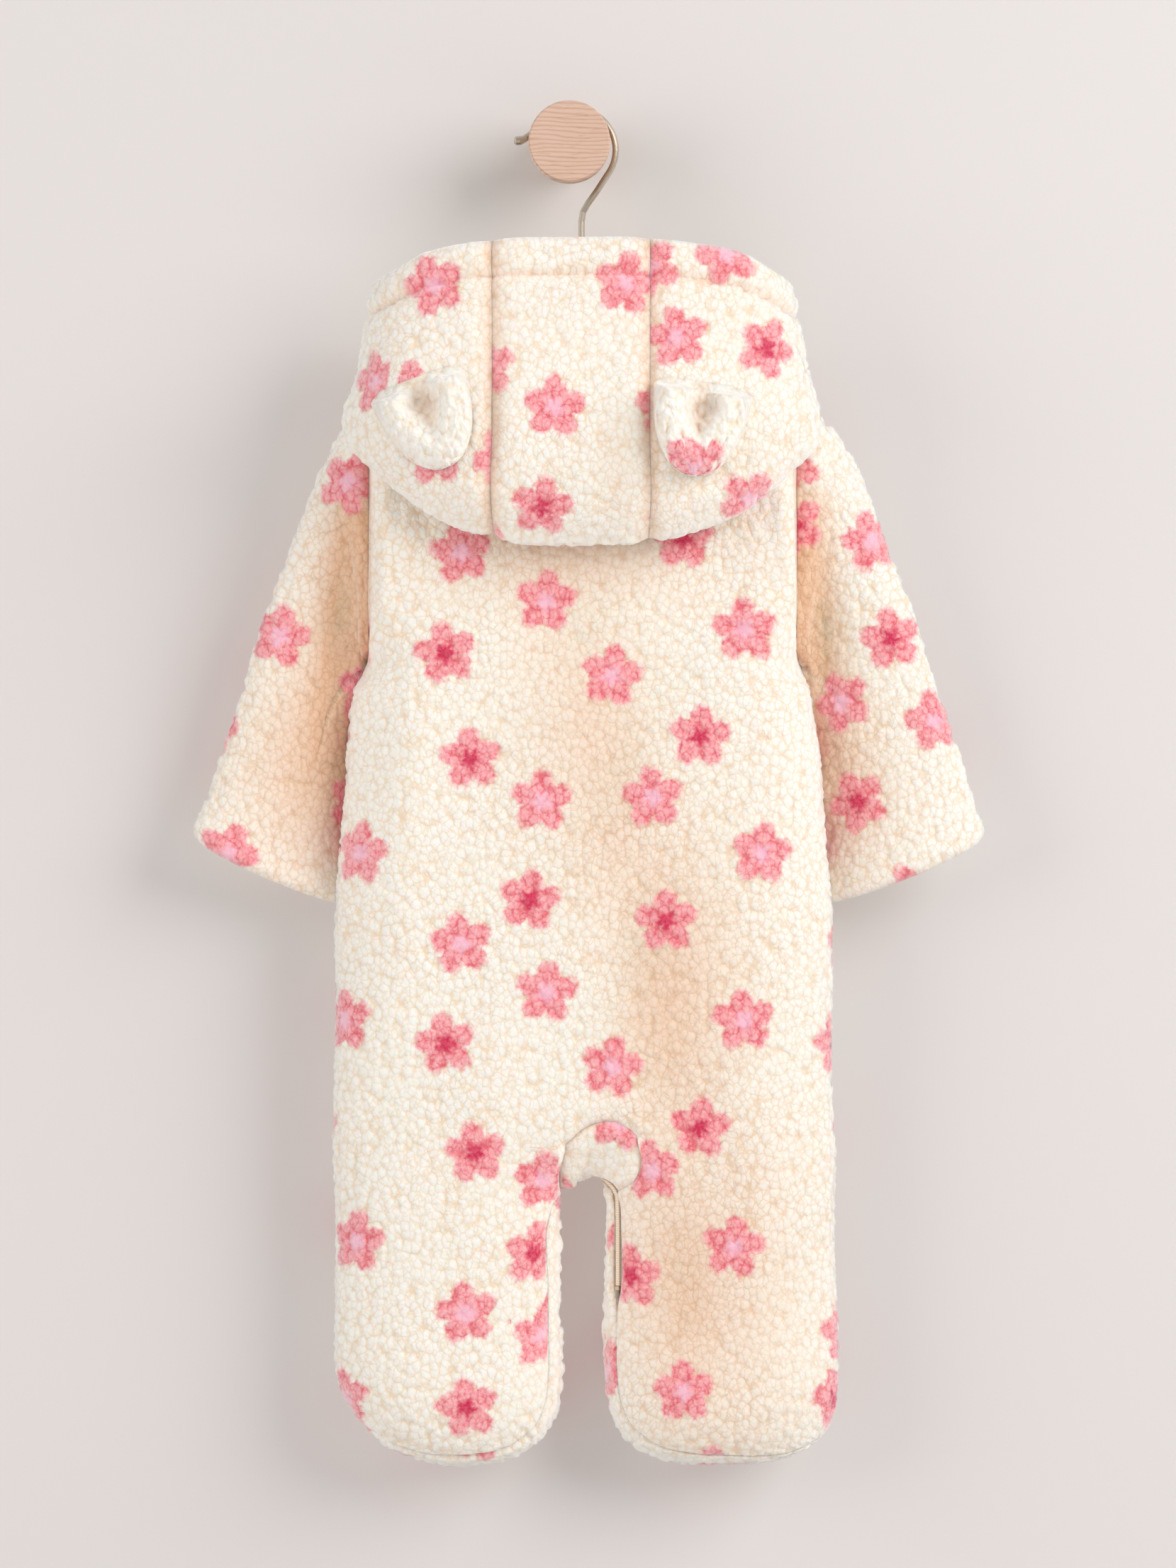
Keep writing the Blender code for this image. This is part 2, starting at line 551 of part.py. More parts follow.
def back_panel():
    left = leg(-1, False)
    right = [grid[:, ::-1] for grid in leg(1, False)]
    seam = gusset_seam("back")[STOPS.index(LEFT_FORK):STOPS.index(LOBE) + 1]
    fork_x = np.concatenate([left[0][0], seam[1:-1, 0], right[0][0]])
    fork_z = np.concatenate([left[1][0], seam[1:-1, 1], right[1][0]])

    def columns(z):
        middle = np.linspace(-MIDDLE, MIDDLE, len(seam))[1:-1]
        return np.concatenate([plain_columns(-1, z, MIDDLE, 11), middle,
                               plain_columns(1, z, MIDDLE, 11)[::-1]])

    x, z = forked(torso(columns, False), columns, fork_x, fork_z)
    trunk = body_grid(x, z, False, arms=(0, -1), neck=True)
    trunk = nudge(trunk, left=SEAM / 2, right=SEAM / 2, top=SEAM / 2)
    left = nudge(body_grid(*left), left=SEAM / 2, right=SEAM * 2 / 3, bottom=SEAM * 2 / 3)
    right = nudge(body_grid(*right), left=SEAM * 2 / 3, right=SEAM / 2, bottom=SEAM * 2 / 3)
    join_legs(trunk, left, right)
    return cloth("back_panel", trunk, left, right)


def front_left():
    left = leg(-1, True)
    seam = gusset_seam("front")[STOPS.index(LEFT_FORK):]
    fork_x = np.concatenate([left[0][0], seam[1:, 0]])
    fork_z = np.concatenate([left[1][0], seam[1:, 1]])

    def columns(z):
        edge = float(slot(-1, max(z, seam[-1, 1]))[0])
        return np.concatenate([plain_columns(-1, z, MIDDLE, 11),
                               np.linspace(-MIDDLE, edge, len(seam))[1:]])

    x, z = forked(torso(columns, True), columns, fork_x, fork_z)
    x[:, -1] = slot(-1, z[:, -1])[0]
    trunk = body_grid(x, z, True, arms=(0,), neck=True)
    trunk = nudge(trunk, left=SEAM / 2, top=SEAM / 2)
    left = nudge(body_grid(*left), left=SEAM / 2, right=SEAM * 2 / 3, bottom=SEAM * 2 / 3)
    join_legs(trunk, left)
    return cloth("front_left", trunk, left)


def front_right():
    a = np.array(LEG_COLUMNS)

    def columns(z):
        edge = float(slot(1, z)[0])
        return np.append(plain_columns(1, z, MIDDLE, 10), edge)

    rows = [(x, z, np.full(len(a), True)) for x, z in torso(columns, True)]
    for z in FORK_HEIGHTS:
        width, edge = float(through(BODY, "right", z)), float(slot(1, z)[0])
        if z < FORK:
            led, _, wall_side = leg_place(1, a, 0 * a, z, leg_reach(1, z, True), True)
        else:
            led, wall_side = mix(width, edge, (1 + a) / 2), np.full(len(a), True)
        share = ease((BODY_HEIGHTS[-1] - z) / (BODY_HEIGHTS[-1] - FORK))
        rows.append((mix(columns(max(z, FORK)), led, share), z + 0 * a, wall_side))
    legs = leg(1, True)
    x, z, wall_side = (np.concatenate([np.stack([row[k] for row in rows]), legs[k]])
                       for k in range(3))
    grid = body_grid(x, z, wall_side, arms=(0,), neck=True)
    return cloth("front_right", nudge(grid, left=SEAM / 2, top=SEAM / 2, bottom=SEAM / 2))


def crotch_gusset():
    """From its seam on the back, over the arch between the legs, to its seam on the front."""
    back, front = gusset_seam("back"), gusset_seam("front")
    arch = np.array([row["arch"] for row in GUSSET])
    heights, _, inside = SLOT[-1]
    crossing = np.interp(0, -inside[heights < -0.53], heights[heights < -0.53])
    arch[-1] = math.degrees(math.atan2(crossing - GAP_CENTRE, float(slot(-1, crossing)[0])))
    back, front = back[1:], front[1:]
    arch = np.interp(STOPS[1:], range(len(arch)), arch)
    ridge = np.stack([GAP * np.cos(np.radians(arch)), GAP_CENTRE + GAP * np.sin(np.radians(arch))], -1)
    rows, sides = [], []
    for line, wall_side in ((back, False), (front, True)):
        part = [mix(ridge, line, step) for step in GUSSET_STEPS]
        for places, step in zip(part, GUSSET_STEPS):
            height = mix(crossing, line[-1, 1], step)
            places[-1] = float(slot(-1, height)[0]), height
        if wall_side:
            part = part[::-1]
        rows += part
        sides += [wall_side] * len(part)
        if not wall_side:
            rows.append(ridge)
            sides.append(False)
    place = np.stack(rows)
    wall_side = np.array(sides)[:, None] & np.ones(len(arch), bool)
    grid = body_grid(place[..., 0], place[..., 1], wall_side)
    return cloth("crotch_gusset", nudge(grid, top=SEAM / 2, bottom=SEAM / 2))


# ---- sleeves -------------------------------------------------------------------------
def sleeve(name, side):
    """A closed tube from the armhole to an open cuff."""
    top = spline([row["top"] for row in SLEEVE], SLEEVE_AT)[:, None]
    low = spline([row["low"] for row in SLEEVE], SLEEVE_AT)[:, None]
    depth = spline([(row["depth"],) for row in SLEEVE], SLEEVE_AT)
    if side < 0:
        top[..., 0] -= spline([(row["slack"],) for row in SLEEVE], SLEEVE_AT)
    turn = np.linspace(0, 2 * math.pi, SLEEVE_COLUMNS + 1)
    turn = turn - CLOSER_AT_EDGES * np.sin(2 * turn)
    outer = (top + low) / 2 + (top - low) / 2 * np.cos(turn)[:, None]
    outer[..., 1] -= depth * np.sin(turn)
    bow = np.interp(SLEEVE_AT, (SLEEVE_AT[-3], SLEEVE_AT[-1]), (0, CUFF_BOW))
    outer[..., 2] -= bow[:, None] * np.abs(np.sin(turn))
    hole = depth_squared(side * ARM_X + 0 * turn, outer[0, :, 2], False)
    hole = -np.sign(np.sin(turn)) * np.sqrt(np.maximum(hole, 0))
    outer[0, :, 1] = hole * ARM_DEPTH / np.max(np.abs(hole))
    spread = SLEEVE_SPREAD["left" if side < 0 else "right"]
    outer[..., 0] = side * (ARM_X + SEAM + outer[..., 0] * spread) + SUIT_X
    outer[..., 1] += SUIT_Y
    rows = np.gradient(outer, axis=0)
    padded = np.concatenate([outer[:, -2:-1], outer, outer[:, 1:2]], 1)
    out = unit(np.cross(np.gradient(padded, axis=1)[:, 1:-1], rows)) * side
    flat = np.stack([0 * turn, (outer[0, :, 1] - SUIT_Y) / ARM_DEPTH ** 2,
                     (outer[0, :, 2] - (ARM_TOP + ARM_FOOT) / 2) / ((ARM_TOP - ARM_FOOT) / 2) ** 2], -1)
    out[0] = unit(flat)
    out[1] = unit(out[1] + 0.5 * unit(flat))
    out[:, -1] = out[:, 0]
    return cloth(name, (outer, outer - WALL * out))


# ---- hood and ears -------------------------------------------------------------------
def hood_controls(station, side):
    """Points of the hood's wall at one station, from the neck over the fold to the rim."""
    turn = math.radians(abs(station["turn"]))
    round_x, round_y = math.sin(turn), math.cos(turn)
    x = (NECK_WIDTH - WALL / 2) * round_x
    y = -(NECK_DEPTH - WALL / 2) * round_y
    z = float(top_height(np.array(NECK_WIDTH * round_x), turn > math.pi / 2)) + 0.0006
    away = unit(np.array([round_x * NECK_DEPTH, -round_y * NECK_WIDTH, 0]))
    neck = np.array([x, y, z])
    soft = float(ease((HOOD_STANDS - station["turn"]) / 54))
    bag, full, rim = (np.array(station[k]) * [1, -1, 1] for k in ("bag", "full", "rim"))
    bulge = away * 0.005 - np.array([0, 0, 0.003])
    up = neck + np.array([0, 0, 0.0035])
    crest = up + away * 0.0085 + np.array([0, 0, 0.0085])
    points = [neck, up, crest, mix(crest, bag, 0.42), mix(crest, bag, 0.84), bag,
              mix(bag, full, 0.5) + bulge, full, mix(full, rim, 0.5), rim]
    points = mix(np.linspace(neck, rim, len(points)), np.array(points), soft) * [side, 1, 1]
    return points + [SUIT_X, SUIT_Y, 0], neck_direction(np.array(side * x), np.array(y))


def hood_grid(across):
    """Outer and inner points of a stretch of the hood, one column for each place across."""
    stations = [hood_controls(row, -1) for row in HOOD[:0:-1]] + [hood_controls(row, 1) for row in HOOD]
    profiles = np.stack([spline(points, HOOD_ALONG) for points, _ in stations])
    directions = np.stack([direction for _, direction in stations])
    mid = np.stack([spline(profiles[:, k], across) for k in range(len(HOOD_ALONG))])
    out = unit(np.cross(np.gradient(mid, axis=1), np.gradient(mid, axis=0)))
    out[0] = unit(np.stack([np.interp(across, range(len(directions)), directions[:, k])
                            for k in range(3)], -1))
    return mid + out * WALL / 2, mid - out * WALL / 2


def hood():
    nape = len(HOOD) - 1
    left_seam, right_seam = nape + HOOD_SEAMS[0], nape + HOOD_SEAMS[1]
    return [cloth("hood_left", nudge(hood_grid(np.linspace(0, left_seam, HOOD_COLUMNS + 1)),
                                     right=SEAM * 0.8)),
            cloth("hood_centre", nudge(hood_grid(np.linspace(left_seam, right_seam, CENTRE_COLUMNS + 1)),
                                       left=SEAM * 0.8, right=SEAM * 0.8)),
            cloth("hood_right", nudge(hood_grid(np.linspace(right_seam, 2 * nape, HOOD_COLUMNS + 1)),
                                      left=SEAM * 0.8))]


def ear(name, place, hood_pieces):
    """A cupped flap that lies on the hood and hangs from its own upper edge."""
    trees = [BVHTree.FromPolygons([v.co for v in piece.data.vertices],
                                  [list(face.vertices) for face in piece.data.polygons])
             for piece in hood_pieces]
    outer = np.zeros((len(EAR_DOWN), len(EAR_ACROSS), 3))
    inner = outer.copy()
    for i, v in enumerate(EAR_DOWN):
        width = EAR["width"] / 2 * (0.90 * math.sqrt(1 - v ** 2.3) + 0.10 * (1 - v)) + 0.0012
        for j, u in enumerate(EAR_ACROSS):
            at = Vector((place["x"] + u * width, -0.3, place["z"] - v * EAR["drop"]))
            hits = [tree.ray_cast(at, Vector((0, 1, 0)))[0] for tree in trees]
            at.y = min(hit.y for hit in hits if hit is not None)
            edge = max(abs(u) ** 3, v ** 4)
            lift = EAR["room"] + 0.0006 * math.sin(math.pi * min(v * 1.2, 1)) + 0.002 * edge * v
            thick = EAR["thick"] * (0.62 + 0.38 * edge) - EAR["hollow"] * (1 - edge) * (1 - v)
            inner[i, j] = at.x, at.y - lift, at.z
            outer[i, j] = at.x, at.y - lift - thick, at.z
    centre = outer.mean((0, 1)) * [1, 0, 1]
    outer = centre + (outer - centre) * [EAR["shrink"], 1, EAR["shrink"]]
    return cloth(name, (outer, inner))


# ---- zip -----------------------------------------------------------------------------
def strip(name, finish, left, right, depths, heights):
    """A strip along the zip, between two distances across it and two depths into the slot."""
    shallow, deep = depths["shallow"], depths["deep"]
    line = zip_line()
    point, out, across = (np.stack([np.interp(-np.array(heights), -line[0][:, 2], part[:, k])
                                    for k in range(3)], -1) for part in line)
    out, across = unit(out), unit(across)
    rings = np.stack([point + across * side - out * depth
                      for side, depth in ((left, shallow), (right, shallow), (right, deep), (left, deep))], 1)
    return lofted(name, finish, rings)


def lofted(name, finish, rings):
    """A closed body through a row of rings, its ends closed flat."""
    rings = np.asarray(rings, float)
    count = rings.shape[1]
    faces = [list(range(count)), [len(rings) * count - 1 - k for k in range(count)]]
    for i in range(len(rings) - 1):
        for k in range(count):
            a, b = count * i + k, count * i + (k + 1) % count
            faces.append([a, b, b + count, a + count])
    return solid(name, finish, rings.reshape(-1, 3), faces)


def joined(name, finish, parts):
    """One body from parts that run into each other."""
    for other in parts[1:]:
        union = parts[0].modifiers.new(other.name, "BOOLEAN")
        union.operation, union.solver, union.object = "UNION", "EXACT", other
    graph = bpy.context.evaluated_depsgraph_get()
    mesh = bpy.data.meshes.new_from_object(parts[0].evaluated_get(graph))
    vertices = [v.co.copy() for v in mesh.vertices]
    faces = [list(face.vertices) for face in mesh.polygons]
    for part in parts:
        bpy.data.objects.remove(part, do_unlink=True)
    return solid(name, finish, vertices, faces)


def cuboid(centre, size):
    """A box as a part to be joined."""
    corner = [(-1, -1), (1, -1), (1, 1), (-1, 1)]
    return lofted("box", "zip_metal", [[(centre[0] + x * size[0] / 2, centre[1] + y * size[1] / 2,
                                         centre[2] + z * size[2] / 2) for x, y in corner] for z in (-1, 1)])


def rod(name, finish, path, radii, count):
    """A round bar through points, a radius for each."""
    path = np.asarray(path, float)
    along = unit(np.gradient(path, axis=0))
    fixed = np.array([0.0, 1.0, 0.0])
    side = unit(np.cross(along, fixed))
    turn = np.arange(count) * 2 * math.pi / count
    return lofted(name, finish, [p + r * (np.cos(turn)[:, None] * s + np.sin(turn)[:, None] * fixed)
                                 for p, r, s in zip(path, radii, side)])


def zip_pieces():
    heights = [*np.arange(ZIP_TOP, -0.500, -0.035), *np.arange(-0.500, -0.562, -0.003),
               -0.570, -0.580, -0.592]
    end = ZIP_END + 0.0070
    strip("zip_tape_left", "zip_tape", -TAPE["edge"], -TAPE["middle"], TAPE, heights + [end])
    strip("zip_tape_right", "zip_tape", TAPE["middle"], TAPE["edge"], TAPE, heights + [end])
    strip("zip_chain", "zip_metal", -CHAIN["edge"], CHAIN["edge"], CHAIN,
          [ZIP_TOP - 0.004] + heights[1:] + [end + 0.0025])
    strip("zip_stop", "zip_metal", -STOP["edge"], STOP["edge"], STOP, [end + 0.0021, end])


def zip_slider():
    """Slider and pull tab at the top of the zip, on the wall side."""
    z, plate, lug = SLIDER["z"], SLIDER["plate"], SLIDER["lug"]
    under = skin(np.zeros(2), np.array([z - SLIDER["height"] / 2, z]), True)[0][:, 1]
    face = under.max() + SLIDER["room"]
    axis = face + plate + SLIDER["rise"]
    reach = TAB["width"] / 2 + SLIDER["play"]
    parts = [cuboid((SUIT_X, face + plate / 2, z), (SLIDER["width"], plate, SLIDER["height"]))]
    for side in (-1, 1):
        parts.append(cuboid((SUIT_X + side * (reach + lug[0] / 2), face + plate / 2 + 0.0020, z), lug))
    turn = np.arange(12) * math.pi / 6
    pin = [(axis + SLIDER["pin"] * math.cos(t), z + SLIDER["pin"] * math.sin(t)) for t in turn]
    parts.append(lofted("pin", "zip_metal", [[(x, *place) for place in pin]
                                             for x in (SUIT_X - reach - 0.0006, SUIT_X + reach + 0.0006)]))
    joined("zip_slider", "zip_metal", parts)
    zip_pull(axis, z)


def zip_pull(axis, z):
    """The tab, a plate below a barrel with a bore for the pin, its origin on the pin's axis."""
    turn = np.radians([*np.arange(-67.5, 248, 22.5), 265, 275])
    bore = TAB["bore"] * np.stack([np.cos(turn), np.sin(turn)], -1)
    outside = TAB["round"] * np.stack([np.cos(turn), np.sin(turn)], -1)
    outside[-2:] = (-TAB["tip"], -TAB["length"]), (TAB["tip"], -TAB["length"])
    rings = []
    for side, ring in ((-1, bore), (-1, outside), (1, outside), (1, bore)):
        rings.append([(side * TAB["width"] / 2, *place) for place in ring])
    count = len(turn)
    faces = [[count * i + k, count * i + (k + 1) % count, count * ((i + 1) % 4) + (k + 1) % count,
              count * ((i + 1) % 4) + k] for i in range(4) for k in range(count)]
    solid("zip_pull", "zip_metal", np.array(rings).reshape(-1, 3), faces).location = (SUIT_X, axis, z)


# ---- what it hangs by ----------------------------------------------------------------
def hanger():
    """A bar under the shoulder seams."""
    rows = [dict(row, out=-row["out"]) for row in HANGER[:0:-1]] + HANGER
    turn = np.arange(16) * math.pi / 8
    rings = []
    for row in rows:
        rings.append([(SUIT_X + row["out"], SUIT_Y + row["deep"] * math.cos(t),
                       row["top"] - row["high"] + row["high"] * math.sin(t)) for t in turn])
    for end, near in ((0, 1), (-1, -1)):
        ring = np.array(rings[end])
        tip = ring.mean(0) + (ring - ring.mean(0)) * 0.55 + [0.0022 * (-1 if end == 0 else 1), 0, 0]
        rings.insert(0 if end == 0 else len(rings), tip)
    return lofted("hanger_bar", "hook_metal", rings)


def hook():
    """A bent wire from the bar up round the peg, with a rounded end."""
    arc = np.radians(np.linspace(140, -38, 25))
    path = [(HOOK["x"] + HOOK["radius"] * math.cos(a), HOOK["z"] + HOOK["radius"] * math.sin(a)) for a in arc]
    flare = [(-0.0292, 0.0016), (-0.0281, 0.0016), (-0.0262, 0.0017), (-0.0235, 0.0027), (-0.0207, 0.0049)]
    stem = [(0.0148, -0.0245), (0.0098, -0.0315), (0.0072, HOOK["bend"]), (HOOK["stem"], -0.0410),
            (HOOK["stem"], HANGER[0]["top"] + 0.0003)]
    path = flare + path + stem
    wire, ball = HOOK["wire"], HOOK["ball"]
    radii = [ball * 0.55, ball * 0.93, ball, wire * 1.15] + [wire] * (len(path) - 4)
    return rod("hanger_hook", "hook_metal", [(x, SUIT_Y, z) for x, z in path], radii, 12)


def peg():
    """A round wooden peg, a neck and a wider disc."""
    neck, disc, edge = PEG["neck"], PEG["disc"], PEG["edge"]
    back, front = -PEG["reach"], -PEG["reach"] - PEG["thick"]
    profile = [(0, neck), (back, neck), (back, disc - edge), (back - edge, disc), (front + edge, disc),
               (front, disc - edge)]
    turn = np.arange(48) * math.pi / 24
    return lofted("wall_peg", "pale_wood",
                  [[(r * math.cos(t), y, r * math.sin(t)) for t in turn] for y, r in profile])


if __name__ == "__main__":
    for old in list(bpy.data.objects):
        bpy.data.objects.remove(old, do_unlink=True)
    back_panel()
    front_left()
    front_right()
    crotch_gusset()
    sleeve("sleeve_left", -1)
    sleeve("sleeve_right", 1)
    shells = hood()
    ear("ear_left", EARS["left"], shells)
    ear("ear_right", EARS["right"], shells)
    zip_pieces()
    zip_slider()
    hanger()
    hook()
    peg()
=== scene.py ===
# %% [markdown]
# # A baby's pramsuit in teddy fleece
#
# The suit hangs by its shoulders from a hanger and shows its back. Its hood has dropped, so
# the bear ears hang down too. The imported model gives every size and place. This lesson puts
# real cloth, wood and wire on it, piece by piece.

# %% Load the frame
import math

import bmesh
import bpy
import numpy as np
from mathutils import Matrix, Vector
from mathutils.bvhtree import BVHTree


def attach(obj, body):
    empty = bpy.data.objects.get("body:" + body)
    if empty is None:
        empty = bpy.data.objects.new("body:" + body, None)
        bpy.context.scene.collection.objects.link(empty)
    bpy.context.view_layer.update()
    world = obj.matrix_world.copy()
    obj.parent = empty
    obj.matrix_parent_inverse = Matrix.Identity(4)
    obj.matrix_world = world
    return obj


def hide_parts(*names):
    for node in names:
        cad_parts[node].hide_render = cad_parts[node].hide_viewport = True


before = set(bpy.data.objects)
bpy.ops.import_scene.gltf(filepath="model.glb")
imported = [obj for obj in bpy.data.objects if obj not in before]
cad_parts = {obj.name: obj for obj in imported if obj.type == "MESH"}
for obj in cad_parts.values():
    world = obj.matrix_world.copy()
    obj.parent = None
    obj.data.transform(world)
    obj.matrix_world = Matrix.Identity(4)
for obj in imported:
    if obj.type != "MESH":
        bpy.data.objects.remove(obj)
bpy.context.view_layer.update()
SUIT = "suit"                # the body that everything but the zip's tab belongs to

# %% [markdown]
# ## The camera
#
# The camera stands far off and has a long lens, so that the sleeves, which lie further back
# than the hood, keep their size. The picture is upright, so the lens is set against the
# height of the film.

# %% Camera
VIEW_X, VIEW_Z = 0.0098, -0.3377     # middle of the picture
VIEW_HEIGHT = 0.8222                 # how much it shows at the plane of the cloth
VIEW_Y = -0.060                      # that plane
AWAY = 4.0                           # how far the camera is from it

film = bpy.data.cameras.new("camera")
film.sensor_fit = "VERTICAL"
film.sensor_height = 24.0
film.lens = film.sensor_height * AWAY / VIEW_HEIGHT
camera = bpy.data.objects.new("camera", film)
camera.location = (VIEW_X, VIEW_Y - AWAY, VIEW_Z)
camera.rotation_euler = (math.pi / 2, 0, 0)
bpy.context.collection.objects.link(camera)
bpy.context.scene.camera = camera
print("lens:", round(film.lens), "mm")

# %% [markdown]
# ## Shader sums that read like sums
#
# A finish is worked out by small nodes. Wiring them one by one hides the thought, so a
# `Wire` wraps an output socket and takes part in sums, and `Recipe.add` makes any other node.
# The same recipe works in a material and in geometry nodes, which is how the curls of the
# pile get the same places in the shape as in the colour.

# %% Wires and recipes
class Wire:
    """An output socket that can be added, multiplied and so on."""

    def __init__(self, recipe, socket):
        self.recipe, self.socket = recipe, socket

    def sum(self, operation, *values, clip=False):
        return self.recipe.add("ShaderNodeMath", dict(operation=operation, use_clamp=clip), values)

    def __add__(self, other):
        return self.sum("ADD", self, other)

    def __radd__(self, other):
        return self.sum("ADD", other, self)

    def __sub__(self, other):
        return self.sum("SUBTRACT", self, other)

    def __rsub__(self, other):
        return self.sum("SUBTRACT", other, self)

    def __mul__(self, other):
        return self.sum("MULTIPLY", self, other)

    def __rmul__(self, other):
        return self.sum("MULTIPLY", other, self)

    def __pow__(self, other):
        return self.sum("POWER", self, other)

    def clip(self):
        return self.sum("ADD", self, 0.0, clip=True)


class Recipe:
    """A node tree, a material's or a geometry one."""

    def __init__(self, tree):
        self.tree = tree

    def add(self, kind, settings=None, values=(), output=0):
        """A node: its settings first, then its sockets by number or by name."""
        node = self.tree.nodes.new(kind)
        for name, value in (settings or {}).items():
            setattr(node, name, value)
        given = values.items() if isinstance(values, dict) else enumerate(values)
        for key, value in given:
            if isinstance(value, Wire):
                self.tree.links.new(value.socket, node.inputs[key])
            elif value is not None:
                node.inputs[key].default_value = value
        return Wire(self, node.outputs[output]) if len(node.outputs) else node

    def place(self):
        return self.add("ShaderNodeTexCoord", output="Object")

    def attribute(self, name, output="Fac"):
        return self.add("ShaderNodeAttribute", dict(attribute_name=name), output=output)

    def vector(self, operation, *values):
        return self.add("ShaderNodeVectorMath", dict(operation=operation), values)

    def parts(self, vector):
        """The three numbers of a vector."""
        return [self.add("ShaderNodeSeparateXYZ", values=(vector,), output=k) for k in range(3)]

    def noise(self, place, scale, detail=2.0, output="Fac"):
        """Soft random blotches, or three at once from the Color output."""
        values = {"Vector": place, "Scale": scale, "Detail": detail}
        return self.add("ShaderNodeTexNoise", values=values, output=output)

    def wander(self, place, scale, detail, reach):
        """A random way off for every place, at most half of reach along each axis."""
        way = self.noise(place, scale, detail, output="Color")
        return self.vector("MULTIPLY", self.vector("SUBTRACT", way, (0.5, 0.5, 0.5)), reach)

    def bump(self, height, strength, distance):
        """Fine relief, as a Normal."""
        return self.add("ShaderNodeBump",
                        values={"Strength": strength, "Distance": distance, "Height": height})

    def mix(self, share, first, second):
        """Two colours mixed by a share."""
        values = {0: share, 6: first, 7: second}
        return self.add("ShaderNodeMix", dict(data_type="RGBA"), values, output=2)

    def step(self, value, low, high):
        """0 below low, 1 above high and smooth between."""
        return self.add("ShaderNodeMapRange", dict(interpolation_type="SMOOTHSTEP"),
                        (value, low, high, 0.0, 1.0))


def tint(red, green, blue):
    """A screen colour, 0 to 255, as a shader's colour."""
    shares = [value / 255 for value in (red, green, blue)]
    return (*(((v + 0.055) / 1.055) ** 2.4 if v > 0.04045 else v / 12.92 for v in shares), 1.0)


def new_material(name):
    """A material with only its output, and the recipe that fills it."""
    made = bpy.data.materials.new(name)
    made.use_nodes = True
    made.node_tree.nodes.clear()
    return made, Recipe(made.node_tree)


def finish_material(recipe, values):
    """Close a recipe with a Principled surface that has these values."""
    shader = recipe.add("ShaderNodeBsdfPrincipled", values=values)
    recipe.add("ShaderNodeOutputMaterial", values={"Surface": shader})


# %% [markdown]
# ## The pile
#
# Teddy fleece is knitted with long loose loops that are tumbled until they curl up into
# little knobs, about 4 mm across and a bit taller than wide, with thin creases between them,
# which the finish paints tanned and darker as painted shade. Cells of a Voronoi pattern are
# just such knobs once their edges are made to wander. `pile` gives the height of the pile at
# a place, from 0 in a crease to 1 on a knob. It cuts a solid pattern with the cloth's surface,
# so it runs on over seams.

# %% The height of the pile
KNOBS, CURLS = 250.0, 500.0          # how many of them lie along a metre
TALLER = (1.10, 1.0, 0.88)           # squeezing space like this makes them taller than wide
KNOB_SHARE, CURL_SHARE = 0.78, 0.28  # of the height of the pile


def bent_place(recipe, place):
    """A place moved about a little, so that the cells of a pattern there turn into knobs."""
    tall = recipe.vector("MULTIPLY", place, TALLER)
    return recipe.vector("ADD", tall, recipe.wander(tall, 260.0, 2.0, (0.004, 0.004, 0.004)))


def cells(recipe, bent, scale, feature="F1"):
    """Distance from the middle or the edge of a cell, counted in cells."""
    return recipe.add("ShaderNodeTexVoronoi", dict(feature=feature),
                      {"Vector": bent, "Scale": scale}, output="Distance")


def pile(recipe, bent, feature="F1"):
    """How high the pile stands at a place, 0 in a crease and 1 on a knob."""
    knob, curl = (1.0 - (cells(recipe, bent, scale, feature) * 1.15) ** 2.0
                  for scale in (KNOBS, CURLS))
    return (knob * KNOB_SHARE + curl * CURL_SHARE - 0.06).clip()


def creases(recipe, bent):
    """1 on the fine lines between the knobs, less on those between their curls."""
    wide, fine = (1.0 - recipe.step(cells(recipe, bent, scale, "DISTANCE_TO_EDGE"), 0.0, width)
                  for scale, width in ((KNOBS, 0.13), (CURLS, 0.14)))
    return (wide + fine * 0.25).clip()


SUNK = 0.35                          # share of the pile that lies below the cloth's surface


def pile_modifier():
    """Geometry nodes that lift a surface by the height of its pile, where there is pile."""
    tree = bpy.data.node_groups.new("pile", "GeometryNodeTree")
    for way in ("INPUT", "OUTPUT"):
        tree.interface.new_socket("Geometry", in_out=way, socket_type="NodeSocketGeometry")
    recipe = Recipe(tree)
    cloth = recipe.add("NodeGroupInput")
    place = recipe.add("GeometryNodeInputPosition")
    height = pile(recipe, bent_place(recipe, place), "SMOOTH_F1")
    long, out = (recipe.add("GeometryNodeInputNamedAttribute", dict(data_type=kind), {"Name": name})
                 for name, kind in (("long", "FLOAT"), ("out", "FLOAT_VECTOR")))
    lift = recipe.add("ShaderNodeVectorMath", dict(operation="SCALE"),
                      {0: out, "Scale": (height - SUNK) * long})
    moved = recipe.add("GeometryNodeSetPosition", values={"Geometry": cloth, "Offset": lift})
    recipe.add("NodeGroupOutput", values=(moved,))
    return tree


PILE = pile_modifier()
print("pile nodes:", len(PILE.nodes))

# %% [markdown]
# ## The forms of the suit
#
# The cloth is worked out, not sculpted: the body is one skin over a flat outline, rounded
# towards its edges, the sleeves are tubes and the hood is a bag swept round the neck. These
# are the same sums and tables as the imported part's, so every seam meets where it does there.

# %% Tables
def table(columns, *rows):
    """Rows of a table as dicts, from the names of its columns and a tuple for each row."""
    return [dict(zip(columns.split(), row)) for row in rows]


# %% Sizes of the suit
WALL = 0.0035            # teddy fleece with its pile
SEAM = 0.00002           # between two pieces that are sewn together
SUIT_X = 0.007           # middle of the suit, left and right
SUIT_Y = -0.036          # plane of the hanger and of the side seams

